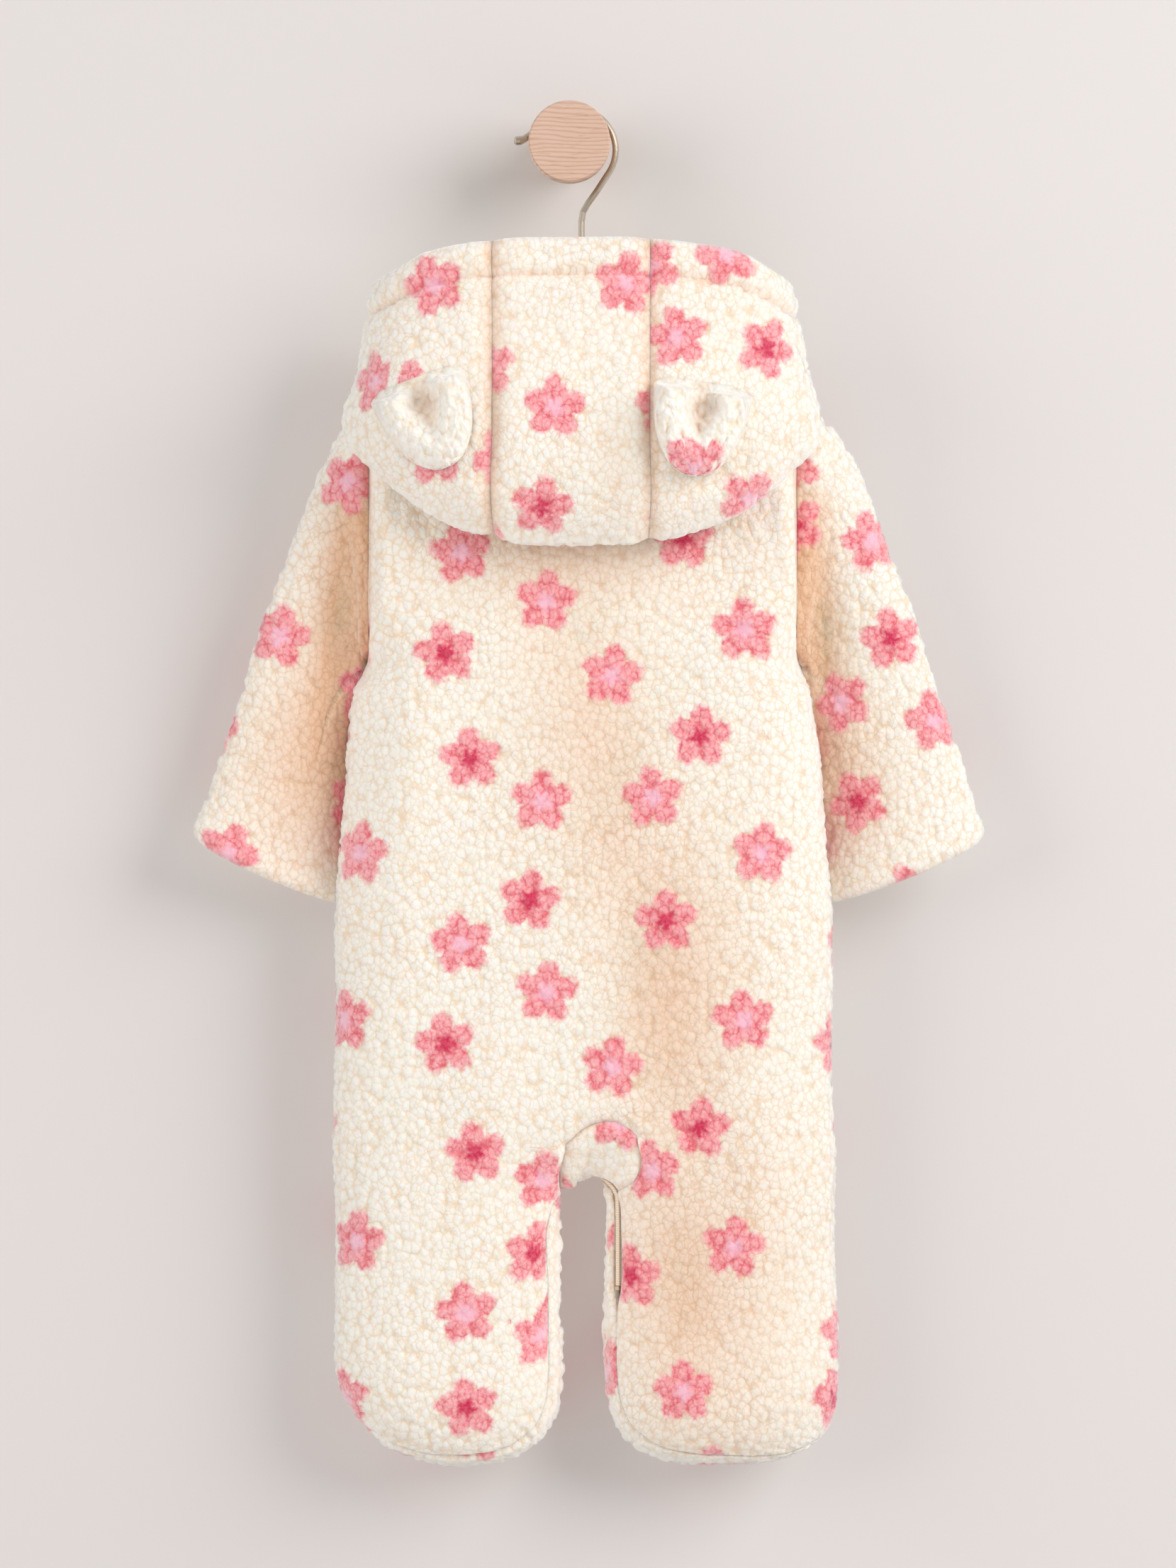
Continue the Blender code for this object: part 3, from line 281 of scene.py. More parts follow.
# height, left and right half widths about SUIT_X, half depth about SUIT_Y
BODY = table("z left right depth",
             (-0.110, 0.1125, 0.1125, 0.0225),
             (-0.190, 0.1125, 0.1125, 0.0250),
             (-0.270, 0.1125, 0.1125, 0.0260),
             (-0.300, 0.1205, 0.1195, 0.0260),
             (-0.340, 0.1250, 0.1255, 0.0250),
             (-0.400, 0.1290, 0.1300, 0.0250),
             (-0.500, 0.1305, 0.1315, 0.0245),
             (-0.600, 0.1300, 0.1330, 0.0240),
             (-0.650, 0.1295, 0.1335, 0.0265),
             (-0.700, 0.1290, 0.1335, 0.0280))
EDGE_ROUND = 0.048       # how far in from an edge the cloth still curves round it
TOP_ROUND = 0.030        # the same below the shoulder seams and the neck

NECK_WIDTH = 0.058       # half width and half depth of the neck opening
NECK_DEPTH = 0.022
NECK_Z = -0.128          # where the neck meets the shoulder seams
NAPE_RISE = 0.004
THROAT_DROP = 0.022
SHOULDER_SLOPE = 0.29
ARM_X = 0.1125           # the plane of an armhole, from the middle of the suit
ARM_TOP = NECK_Z - SHOULDER_SLOPE * (ARM_X - NECK_WIDTH)
ARM_FOOT = -0.270        # underarm
ARM_DEPTH = 0.0175       # half depth of the armhole

GAP = 0.0128             # half of the gap between the legs
FORK = -0.542            # top of that gap
GAP_CENTRE = FORK - GAP
LEG_TOP = -0.552         # where the leg sections start
FOOT = -0.646            # below this the feet round off
FOOT_DROP = 0.049
# how much fuller than an ellipse each lower corner of a foot is
FOOT_CORNERS = dict(left=dict(outer=-0.050, inner=0.100), right=dict(outer=0.135, inner=0.090))
TURN = 0.0905            # share of half a leg by which the front wraps round to the back

ZIP_HALF = 0.0025        # half of the slot that the zip closes
ZIP_TOP = -0.1515
ZIP_END = -0.611
# where the zip turns from the front to the inner edge of the right leg: its angle on the
# arch between the legs, and its angle in from the edge, positive on the wall side
ZIP_BEND = table("arch inside",
                 (90, 0.950), (88, 0.680), (79, 0.400),
                 (61, 0.120), (41, -0.140), (20, -0.350),
                 (0, -0.460))
ZIP_INSIDE = -0.475      # the same angle down the leg
# the crotch gusset from its left tip to the zip: its seam on the back, the angle of its
# place on the arch between the legs, and its seam on the front
GUSSET = table("back arch front",
               ((-0.0125, -0.5520), 167.4, (-0.0125, -0.5520)),
               ((-0.0123, -0.5400), 153.0, (-0.0123, -0.5400)),
               ((-0.0085, -0.5265), 139.0, (-0.0118, -0.5310)),
               ((0.0035, -0.5170), 125.0, (-0.0104, -0.5240)),
               ((0.0175, -0.5150), 111.0, (-0.0085, -0.5190)),
               ((0.0285, -0.5225), 99.0, (-0.0066, -0.5165)),
               ((0.0310, -0.5380), 89.0, (-0.0051, -0.5152)),
               ((0.0270, -0.5465), 81.0, (-0.0038, -0.5145)),
               ((0.0200, -0.5520), 74.0, (-0.0025, -0.5140)))
LEFT_FORK = 2            # above this row its seams run across the body, below down the leg
LOBE = 5                 # the same on the right of the back
GUSSET_STEPS = [1, 0.80, 0.60, 0.42, 0.26, 0.11]   # its rows, from a seam to the arch

# one row for each place down a sleeve: its upper and its lower edge, each as how far out
# from the armhole, how far towards the wall and its height, the half depth between them,
# and how much further in the left sleeve's upper edge lies
SLEEVE = table("top low depth slack",
               ((0.0000, 0.0000, ARM_TOP), (0.0000, 0.0000, ARM_FOOT), 0.0175, 0.0000),
               ((0.0110, 0.0000, -0.1470), (0.0045, 0.0040, -0.2750), 0.0185, 0.0045),
               ((0.0270, 0.0010, -0.1680), (0.0045, 0.0130, -0.2940), 0.0180, 0.0060),
               ((0.0480, 0.0010, -0.2230), (0.0080, 0.0210, -0.3250), 0.0160, 0.0050),
               ((0.0720, 0.0010, -0.2980), (0.0080, 0.0225, -0.3600), 0.0150, 0.0015),
               ((0.0925, 0.0010, -0.3660), (0.0105, 0.0225, -0.4000), 0.0160, 0.0000))
SLEEVE_SPREAD = dict(left=0.985, right=1.065)
SLEEVE_AT = [0, 0.5, 1, 1.5, 2, 2.5, 3, 3.7, 4.35, 5]     # its rings, counted in those rows
SLEEVE_COLUMNS = 16
CUFF_BOW = 0.0060        # how far the middle of a cuff hangs below its ends
CLOSER_AT_EDGES = 0.22   # how much closer its columns lie where it is flattened

# one row for each station round the hood from the nape to the zip: the angle at the neck,
# then the bottom of the bag, its fullest place and the rim, as (out, back, height)
HOOD = table("turn bag full rim",
             (0, (.000, .043, -.2100), (.000, .064, -.1600), (.000, .050, -.0530)),
             (31, (.040, .043, -.2080), (.041, .063, -.1580), (.041, .049, -.0540)),
             (55, (.079, .041, -.1955), (.080, .057, -.1490), (.079, .045, -.0595)),
             (74, (.104, .035, -.1755), (.105, .046, -.1370), (.095, .035, -.0680)),
             (92, (.117, .024, -.1545), (.116, .026, -.1260), (.104, .018, -.0750)),
             (118, (.087, -.004, -.1275), (.100, -.004, -.1100), (.095, -.006, -.0850)),
             (146, (.040, -.019, -.1320), (.047, -.020, -.1200), (.054, -.020, -.1070)),
             (176, (.005, -.021, -.1450), (.006, -.021, -.1420), (.007, -.021, -.1370)))
HOOD_SEAMS = (-1.15, 0.85)   # stations of the two seams beside the middle panel
HOOD_STANDS = 146        # from this angle on the collar stands straight up at the front
HOOD_ALONG = [0, 1, 2, 3, 4, 5, 5.5, 6.2, 7, 7.7, 8.4, 9]  # its rows, counted in its profile
HOOD_COLUMNS = 11
CENTRE_COLUMNS = 6

print("suit:", round((FOOT - FOOT_DROP) * -1000), "mm down to its feet,", len(HOOD), "stations of hood")


# %% Curves through tables
def through(rows, key, at, where="z"):
    """A smooth value of one column of a table, which never swings past its rows."""
    xs = np.array([row[where] for row in rows], float)
    ys = np.array([row[key] for row in rows], float)
    if xs[0] > xs[-1]:
        xs, ys = xs[::-1], ys[::-1]
    rise = np.diff(ys) / np.diff(xs)
    slope = np.zeros(len(xs))
    product = rise[1:] * rise[:-1]
    total = rise[1:] + rise[:-1]
    slope[1:-1] = np.where(product > 0, 2 * product / np.where(total == 0, 1, total), 0)
    slope[0], slope[-1] = rise[0], rise[-1]
    at = np.clip(np.asarray(at, float), xs[0], xs[-1])
    i = np.clip(np.searchsorted(xs, at) - 1, 0, len(xs) - 2)
    h = xs[i + 1] - xs[i]
    t = (at - xs[i]) / h
    return (ys[i] * (1 + 2 * t) * (1 - t) ** 2 + ys[i + 1] * t * t * (3 - 2 * t)
            + h * (slope[i] * t * (1 - t) ** 2 + slope[i + 1] * t * t * (t - 1)))


def spline(points, at):
    """A Catmull-Rom curve through points, read at positions counted in points."""
    points = np.asarray(points, float)
    at = np.clip(np.asarray(at, float), 0, len(points) - 1)
    i = np.clip(np.floor(at).astype(int), 0, len(points) - 2)
    t = (at - i)[..., None]
    before = points[np.maximum(i - 1, 0)]
    after = points[np.minimum(i + 2, len(points) - 1)]
    a, b = points[i], points[i + 1]
    return 0.5 * (2 * a + (b - before) * t + (2 * before - 5 * a + 4 * b - after) * t ** 2
                  + (3 * a - before - 3 * b + after) * t ** 3)


def ease(t):
    """0 below 0, 1 above 1 and smooth between."""
    t = np.clip(t, 0, 1)
    return t * t * (3 - 2 * t)


def unit(v):
    """Directions of length 1."""
    return v / np.maximum(np.linalg.norm(v, axis=-1, keepdims=True), 1e-12)


def mix(a, b, t):
    """The value at share t of the way from a to b."""
    return a + (b - a) * t


print("half width at the underarm:", round(float(through(BODY, "left", ARM_FOOT)), 4))


# %% Room at the seams
def draw_back(border, beside, layers, distance):
    """Move a border of points across its own line, towards the points beside it."""
    along = unit(np.gradient(border, axis=0))
    step = beside - border
    step = unit(step - (step * along).sum(-1, keepdims=True) * along) * distance
    for layer in layers:
        layer += step


def nudge(grid, **edges):
    """Draw the named edges of a grid back by a distance each, for the room at a seam."""
    out, inn = grid
    views = dict(top=(np.s_[0], np.s_[1]), bottom=(np.s_[-1], np.s_[-2]),
                 left=(np.s_[:, 0], np.s_[:, 1]), right=(np.s_[:, -1], np.s_[:, -2]))
    for edge, distance in edges.items():
        border, beside = views[edge]
        draw_back(out[border].copy(), out[beside], (out[border], inn[border]), distance)
    return out, inn


# %% [markdown]
# ## The body's skin
#
# Laid on a table, the body is a flat outline with a gap between its legs. Filled, it rounds
# out from every edge like a pillow. So its half depth at a place is one formula of how far
# the nearest edges are, and front and back are the same sheet with opposite signs.

# %% The skin of the body
def half(x, z):
    """Half width of the body on the side of x."""
    return np.where(x < 0, through(BODY, "left", z), through(BODY, "right", z))


def top_height(x, wall_side):
    """Height of the shoulder seams and of the neck, lower at the throat than at the nape."""
    inside = np.clip(1 - (x / NECK_WIDTH) ** 2, 0, 1) ** 2
    neck = np.where(wall_side, -THROAT_DROP, NAPE_RISE) * inside
    return NECK_Z + neck - SHOULDER_SLOPE * np.maximum(np.abs(x) - NECK_WIDTH, 0)


def gap_edge(z):
    """Where the inner edge of a leg lies at a height."""
    above = np.clip(z - GAP_CENTRE, 0, GAP)
    return np.sqrt(np.maximum(GAP ** 2 - above ** 2, 0)) * (z < FORK)


def swell(t):
    """Square of how far the cloth has rounded out at t, 0 on an edge and 1 well inside it."""
    return np.where(t < 1, t * (2 - t), 1.0)


def opened(t, share):
    """The same where the edge is an opening that already stands at a share of the depth."""
    round_out = np.sqrt(np.maximum(swell(t), 0))
    part = share + (1 - share) * mix(round_out, swell(t), share)
    return np.where(share > 0, part ** 2, swell(t))


def depth_squared(x, z, wall_side):
    """Square of the half depth at a place of the flat outline, the form of the whole body."""
    width = half(x, z)
    deep = through(BODY, "depth", z)
    reach = (ARM_TOP - ARM_FOOT) / 2
    armhole = 1 - ((z - (ARM_TOP + ARM_FOOT) / 2) / reach) ** 2
    share = ARM_DEPTH / deep * np.sqrt(np.maximum(armhole, 0))
    side = opened((width - np.abs(x)) / EDGE_ROUND, share)
    neck = NECK_DEPTH / deep * np.sqrt(np.maximum(1 - (x / NECK_WIDTH) ** 2, 0))
    top = opened((top_height(x, wall_side) - z) / TOP_ROUND, neck)
    between = np.hypot(x, np.maximum(z - GAP_CENTRE, 0)) - GAP
    legs = swell(between / EDGE_ROUND)
    middle, room = (width + GAP) / 2, (width - GAP) / 2
    out = np.hypot((np.abs(x) - middle) / room, (FOOT - z) / FOOT_DROP)
    foot = swell((1 - out) * room / EDGE_ROUND)
    return deep ** 2 * np.where(z < FOOT, foot, side * top * legs)


def skin(x, z, wall_side):
    """Points and outward directions of the body's outside."""
    x, z, wall_side = np.broadcast_arrays(np.asarray(x, float), np.asarray(z, float), wall_side)
    face = np.where(wall_side, 1.0, -1.0)
    deep = np.sqrt(np.maximum(depth_squared(x, z, wall_side), 0))
    step = 2e-5              # a small way off, to measure the slope
    left, right = (depth_squared(x + way * step, z, wall_side) for way in (-1, 1))
    low, high = (depth_squared(x, z + way * step, wall_side) for way in (-1, 1))
    out = unit(np.stack([(left - right) / (2 * step), 2 * face * deep, (low - high) / (2 * step)], -1))
    point = np.stack([x + SUIT_X, SUIT_Y + face * deep, z], -1)
    return point, out


def body_grid(x, z, wall_side, arms=(), neck=False):
    """Outer and inner points of a stretch of the body.

    At an armhole the wall's edge lies in the plane of the armhole, and at the neck in the
    plane of the neck, so that the sleeve and the hood meet it face to face.
    """
    point, out = skin(x, z, wall_side)
    deep = point[..., 1] - SUIT_Y
    if neck:
        ring = np.abs(x[0]) < NECK_WIDTH * 1.001
        out[0, ring] = neck_direction(x[0], deep[0])[ring]
    for column in arms:
        heights = z[:, column]
        middle, reach = (ARM_TOP + ARM_FOOT) / 2, (ARM_TOP - ARM_FOOT) / 2
        flat = np.stack([0 * heights, deep[:, column] / ARM_DEPTH ** 2,
                         (heights - middle) / reach ** 2], -1)
        hole = heights > ARM_FOOT + 1e-5
        out[hole, column] = unit(flat)[hole]
        out[0, column] = (0, 0, 1)
        foot = np.argmin(np.abs(heights - ARM_FOOT))
        out[foot, column] = unit(out[foot, column] + np.array([0, 0, -1.0]))
    return fuller_feet(point), fuller_feet(point - WALL * out)


def fuller_feet(points):
    """The points with the lower corners of the feet pushed out or in."""
    x, z = points[..., 0] - SUIT_X, points[..., 2]
    right = x > 0
    width = np.where(right, half(0 * x + 0.1, z), half(0 * x - 0.1, z))
    across = (np.abs(x) - (width + GAP) / 2) / ((width - GAP) / 2)
    down = np.maximum(FOOT - z, 0) / FOOT_DROP
    outer, inner = (np.where(right, FOOT_CORNERS["right"][k], FOOT_CORNERS["left"][k])
                    for k in ("outer", "inner"))
    corner = np.sin(2 * np.arctan2(down, np.abs(across))) ** 2 * (across ** 2 + down ** 2)
    share = np.where(across > 0, outer, inner) * corner
    moved = points.copy()
    moved[..., 0] += np.sign(x) * share * across * (width - GAP) / 2
    moved[..., 2] -= share * down * FOOT_DROP
    return moved


def neck_direction(x, deep):
    """Level direction out of the neck ring at a place on it."""
    return unit(np.stack([x / NECK_WIDTH ** 2, deep / NECK_DEPTH ** 2, 0 * x], -1))


# %% [markdown]
# ## The zip's line
#
# The zip starts under the chin, runs down the front, turns over the arch between the legs
# and goes on down the inner edge of one leg. The two fronts and the gusset all end on its
# slot, so the slot's edges are worked out first and looked up by height.

# %% The line of the zip
def zip_line():
    """Outside points of the zip's middle, their outward directions and those across it."""
    turn = spline([(row["arch"], row["inside"]) for row in ZIP_BEND],
                  np.linspace(0, len(ZIP_BEND) - 1, 61))
    arch, inside = np.radians(turn[:, 0]), turn[:, 1]
    r = GAP + EDGE_ROUND * (1 - np.cos(inside))
    x, z = r * np.cos(arch), GAP_CENTRE + r * np.sin(arch)
    front = np.linspace(ZIP_TOP, z[0], 60)[:-1]
    down = np.linspace(z[-1], ZIP_END - 0.004, 24)[1:]
    turned = mix(turn[-1, 1], ZIP_INSIDE, ease((z[-1] - down) / 0.012))
    side_x = GAP + EDGE_ROUND * (1 - np.cos(turned))
    x = np.concatenate([0 * front, x, side_x])
    z = np.concatenate([front, z, down])
    wall_side = np.concatenate([np.full(len(front), True), inside > 0, np.full(len(down), False)])
    point, out = skin(x, z, wall_side)
    along = unit(np.gradient(point, axis=0))
    return point, out, unit(np.cross(along, out))


def slot_edge(sign):
    """One edge of the slot as heights, half widths and angles in from the edge of the leg."""
    point, _, across = zip_line()
    closing = ease((point[:, 2] - ZIP_END + 0.002) / 0.008)
    at = point + sign * (SEAM / 2 + (ZIP_HALF - SEAM / 2) * closing)[:, None] * across
    x, deep, z = at[:, 0] - SUIT_X, at[:, 1] - SUIT_Y, at[:, 2]
    inside = np.arcsin(np.clip(deep / through(BODY, "depth", z), -0.999, 0.999))
    r = GAP + EDGE_ROUND * (1 - np.cos(inside))
    angle = np.arctan2(np.maximum(z - GAP_CENTRE, 0), x)
    near = (np.abs(inside) < 1.0) & (z < -0.515)
    x = np.where(near, r * np.cos(angle), x)
    z = np.where(near & (angle > 0), GAP_CENTRE + r * np.sin(angle), z)
    return z, x, inside


SLOT = {}                # the two edges, worked out once


def slot(sign, z):
    """Half width where an edge of the slot lies at a height, and its angle in from the leg's edge."""
    if sign not in SLOT:
        SLOT[sign] = slot_edge(sign)
    heights, x, inside = SLOT[sign]
    return np.interp(-np.asarray(z), -heights, x), np.interp(-np.asarray(z), -heights, inside)


print("zip:", round(float(np.linalg.norm(np.diff(zip_line()[0], axis=0), axis=1).sum()), 3), "m")


# %% [markdown]
# ## The legs and the trunk
#
# A panel is a grid of rows and columns. Down a leg its rows bend round the sole, and above
# the fork they straighten out towards the shoulders. Each panel goes a little past the
# outline or stops short of it, because the front wraps round to the back.

# %% Places on the legs
def leg_place(side, a, drop, z, reach, wall_side):
    """A place on a leg: a from its outer seam, -1, to its inner edge, 1, drop down the foot."""
    m = np.maximum(np.maximum(np.abs(a), drop), 1e-9)
    a, drop = a / m, drop / m
    across = a * np.sqrt(1 - drop ** 2 / 2)
    down = drop * np.sqrt(1 - a ** 2 / 2)
    angle = np.degrees(np.arctan2(np.abs(down), across))
    out = m * (1 + reach * ease((150 - angle) / 60))
    turned = out > 1
    out = np.where(turned, 2 - out, out)
    width, inner = half(np.array(side * 0.1), z), gap_edge(z)
    x = side * ((width + inner) / 2 - out * across * (width - inner) / 2)
    return x, z - out * down * FOOT_DROP, turned != wall_side


def leg_reach(side, z, wall_side):
    """How far past the inner edge a panel goes, as a share of half the leg."""
    rows = GUSSET[:LEFT_FORK + 1] if side < 0 else GUSSET[LOBE:]
    if z > LEG_TOP and not (side > 0 and wall_side):
        which = "front" if wall_side else "back"
        seam = [dict(x=abs(row[which][0]), z=row[which][1]) for row in rows]
        x, past = through(seam, "x", z), False
    elif side < 0:
        return (TURN if wall_side else -TURN) * float(ease((LEG_TOP - z) / 0.014))
    else:
        x, inside = slot(1 if wall_side else -1, z)
        past = wall_side and inside < 0
    width = through(BODY, "left" if side < 0 else "right", z)
    share = float((x - gap_edge(z)) / ((width - gap_edge(z)) / 2))
    return share if past else -share


# columns across a leg from its outer seam, and rows down its foot; the front turns over the
# inner edge, and over the toes, where they pass 0.917
LEG_COLUMNS = [-1, -0.951, -0.809, -0.588, -0.309, 0, 0.309, 0.588, 0.790, 0.917, 0.965, 1]
FOOT_ROWS = [0.309, 0.588, 0.790, 0.917, 0.965, 1]
LEG_HEIGHTS = [LEG_TOP, -0.560, -0.568, -0.603, -0.615, FOOT]
FORK_HEIGHTS = [-0.485, -0.505, -0.518, -0.528, -0.535, -0.5395, -0.543, -0.546, -0.549]


def leg(side, wall_side):
    """Rows of places of one leg's front or back, outer seam first."""
    a = np.array(LEG_COLUMNS)
    seam = gusset_seam("front" if wall_side else "back")[:, 1]
    left, right = seam[STOPS.index(LEFT_FORK):0:-1], seam[STOPS.index(LOBE):-1]
    heights = list(left if side < 0 else [] if wall_side else right) + LEG_HEIGHTS
    rows = [leg_place(side, a, 0 * a, z, leg_reach(side, z, wall_side), wall_side) for z in heights]
    foot_reach = TURN if wall_side else -TURN
    for drop in FOOT_ROWS:
        rows.append(leg_place(side, a, drop + 0 * a, FOOT, foot_reach, wall_side))
    return tuple(np.stack([np.broadcast_to(row[k], a.shape) for row in rows]) for k in range(3))


# %% Places on the trunk
def plain_columns(side, z, inner, count):
    """Places across one side of the body, outer seam first, with one where the neck ends."""
    width = float(half(np.array(side * 0.1), z))
    arc = np.linspace(0, math.pi / 2, count // 2 + 1)
    outer = width - (width - NECK_WIDTH) * (1 - np.cos(arc))
    return side * np.concatenate([outer, np.linspace(NECK_WIDTH, inner, count - count // 2 + 1)[1:]])


YOKE_Z = -0.165          # the first level row, below the slope of the shoulders
SHOULDER_ROWS = [0.0, 0.12, 0.45]
BODY_HEIGHTS = [YOKE_Z, -0.212, -0.254, ARM_FOOT, -0.300, -0.345, -0.440]
BLEND = table("down share",
              (0.34, 0.20), (0.66, 0.55), (0.88, 0.85))
MIDDLE = 0.016           # the plain columns end at this half width
STOPS = [0, 0.12, 0.5, 1, 2, 3, 4, 5, 6, 7, 8]  # places along the gusset, counted in its rows


def torso(columns, wall_side):
    """Rows of places from the shoulders down to where they draw together for the fork."""
    x = columns(YOKE_Z)
    rows = [(x, mix(top_height(x, wall_side), YOKE_Z, share)) for share in SHOULDER_ROWS]
    return rows + [(columns(z), z + 0 * x) for z in BODY_HEIGHTS]


def forked(rows, columns, fork_x, fork_z):
    """The same rows led on to a fork row, which is not level."""
    last = BODY_HEIGHTS[-1]
    for row in BLEND:
        x = mix(columns(mix(last, fork_z[0], row["down"])), fork_x, row["share"])
        rows.append((x, mix(last, fork_z, row["down"])))
    rows.append((fork_x, fork_z))
    return np.stack([r[0] for r in rows]), np.stack([r[1] for r in rows])


def gusset_seam(which):
    """Places along a seam of the gusset, its tip first and the zip's slot last."""
    seam = np.array([row[which] for row in GUSSET])
    seam[0] = -gap_edge(LEG_TOP), LEG_TOP
    seam[-1, 1] = LEG_TOP if which == "back" else seam[-1, 1]
    seam[-1, 0] = slot(-1, seam[-1, 1])[0]
    return np.stack([np.interp(STOPS, range(len(seam)), seam[:, k]) for k in range(2)], -1)


def join_legs(trunk, left=None, right=None):
    """Draw the gusset's seam back from the fork row, and give that row the legs' own points."""
    out, inn = trunk
    n = len(LEG_COLUMNS)
    middle = np.s_[-1, n:-n] if right else np.s_[-1, n:]
    above = np.s_[-2, n:-n] if right else np.s_[-2, n:]
    draw_back(out[middle].copy(), out[above], (out[middle], inn[middle]), SEAM / 2)
    for layer in range(2):
        trunk[layer][-1, :n] = left[layer][0]
        if right:
            trunk[layer][-1, -n:] = right[layer][0]


# %% [markdown]
# ## Four panels of the body
#
# The back is one panel with two legs. Each front is half of one, and the gusset bridges the
# fork between them. Where a trunk meets its legs they share a row, so no gap can open.

# %% Panels of the body
def back_panel_grids():
    """The trunk from the shoulders to the fork, and both legs."""
    left = leg(-1, False)
    right = [grid[:, ::-1] for grid in leg(1, False)]
    seam = gusset_seam("back")[STOPS.index(LEFT_FORK):STOPS.index(LOBE) + 1]
    fork_x = np.concatenate([left[0][0], seam[1:-1, 0], right[0][0]])
    fork_z = np.concatenate([left[1][0], seam[1:-1, 1], right[1][0]])

    def columns(z):
        middle = np.linspace(-MIDDLE, MIDDLE, len(seam))[1:-1]
        return np.concatenate([plain_columns(-1, z, MIDDLE, 11), middle,
                               plain_columns(1, z, MIDDLE, 11)[::-1]])

    x, z = forked(torso(columns, False), columns, fork_x, fork_z)
    trunk = body_grid(x, z, False, arms=(0, -1), neck=True)
    trunk = nudge(trunk, left=SEAM / 2, right=SEAM / 2, top=SEAM / 2)
    left = nudge(body_grid(*left), left=SEAM / 2, right=SEAM * 2 / 3, bottom=SEAM * 2 / 3)
    right = nudge(body_grid(*right), left=SEAM * 2 / 3, right=SEAM / 2, bottom=SEAM * 2 / 3)
    join_legs(trunk, left, right)
    return trunk, left, right


def front_left_grids():
    """The trunk from the shoulder to the fork, ending on the zip, and its leg."""
    left = leg(-1, True)
    seam = gusset_seam("front")[STOPS.index(LEFT_FORK):]
    fork_x = np.concatenate([left[0][0], seam[1:, 0]])
    fork_z = np.concatenate([left[1][0], seam[1:, 1]])

    def columns(z):
        edge = float(slot(-1, max(z, seam[-1, 1]))[0])
        return np.concatenate([plain_columns(-1, z, MIDDLE, 11),
                               np.linspace(-MIDDLE, edge, len(seam))[1:]])

    x, z = forked(torso(columns, True), columns, fork_x, fork_z)
    x[:, -1] = slot(-1, z[:, -1])[0]
    trunk = body_grid(x, z, True, arms=(0,), neck=True)
    trunk = nudge(trunk, left=SEAM / 2, top=SEAM / 2)
    left = nudge(body_grid(*left), left=SEAM / 2, right=SEAM * 2 / 3, bottom=SEAM * 2 / 3)
    join_legs(trunk, left)
    return trunk, left


def front_right_grids():
    """One grid from the shoulder to the sole, since the zip's slot is its edge all the way."""
    a = np.array(LEG_COLUMNS)

    def columns(z):
        edge = float(slot(1, z)[0])
        return np.append(plain_columns(1, z, MIDDLE, 10), edge)

    rows = [(x, z, np.full(len(a), True)) for x, z in torso(columns, True)]
    for z in FORK_HEIGHTS:
        width, edge = float(through(BODY, "right", z)), float(slot(1, z)[0])
        if z < FORK:
            led, _, wall_side = leg_place(1, a, 0 * a, z, leg_reach(1, z, True), True)
        else:
            led, wall_side = mix(width, edge, (1 + a) / 2), np.full(len(a), True)
        share = ease((BODY_HEIGHTS[-1] - z) / (BODY_HEIGHTS[-1] - FORK))
        rows.append((mix(columns(max(z, FORK)), led, share), z + 0 * a, wall_side))
    legs = leg(1, True)
    x, z, wall_side = (np.concatenate([np.stack([row[k] for row in rows]), legs[k]])
                       for k in range(3))
    grid = body_grid(x, z, wall_side, arms=(0,), neck=True)
    return nudge(grid, left=SEAM / 2, top=SEAM / 2, bottom=SEAM / 2)


def crotch_gusset_grids():
    """From its seam on the back, over the arch between the legs, to its seam on the front."""
    back, front = gusset_seam("back"), gusset_seam("front")
    arch = np.array([row["arch"] for row in GUSSET])
    heights, _, inside = SLOT[-1]
    crossing = np.interp(0, -inside[heights < -0.53], heights[heights < -0.53])
    arch[-1] = math.degrees(math.atan2(crossing - GAP_CENTRE, float(slot(-1, crossing)[0])))
    back, front = back[1:], front[1:]
    arch = np.interp(STOPS[1:], range(len(arch)), arch)
    ridge = np.stack([GAP * np.cos(np.radians(arch)), GAP_CENTRE + GAP * np.sin(np.radians(arch))], -1)
    rows, sides = [], []
    for line, wall_side in ((back, False), (front, True)):
        part = [mix(ridge, line, step) for step in GUSSET_STEPS]
        for places, step in zip(part, GUSSET_STEPS):
            height = mix(crossing, line[-1, 1], step)
            places[-1] = float(slot(-1, height)[0]), height
        if wall_side:
            part = part[::-1]
        rows += part
        sides += [wall_side] * len(part)
        if not wall_side:
            rows.append(ridge)
            sides.append(False)
    place = np.stack(rows)
    wall_side = np.array(sides)[:, None] & np.ones(len(arch), bool)
    grid = body_grid(place[..., 0], place[..., 1], wall_side)
    return nudge(grid, top=SEAM / 2, bottom=SEAM / 2)


# %% [markdown]
# ## Tubes and a bag
#
# A sleeve is a ring that starts as the armhole and flattens on its way to the cuff. The hood
# is one profile, from the neck over the fold of the bag up to the rim, swept round the neck
# and changed from station to station.

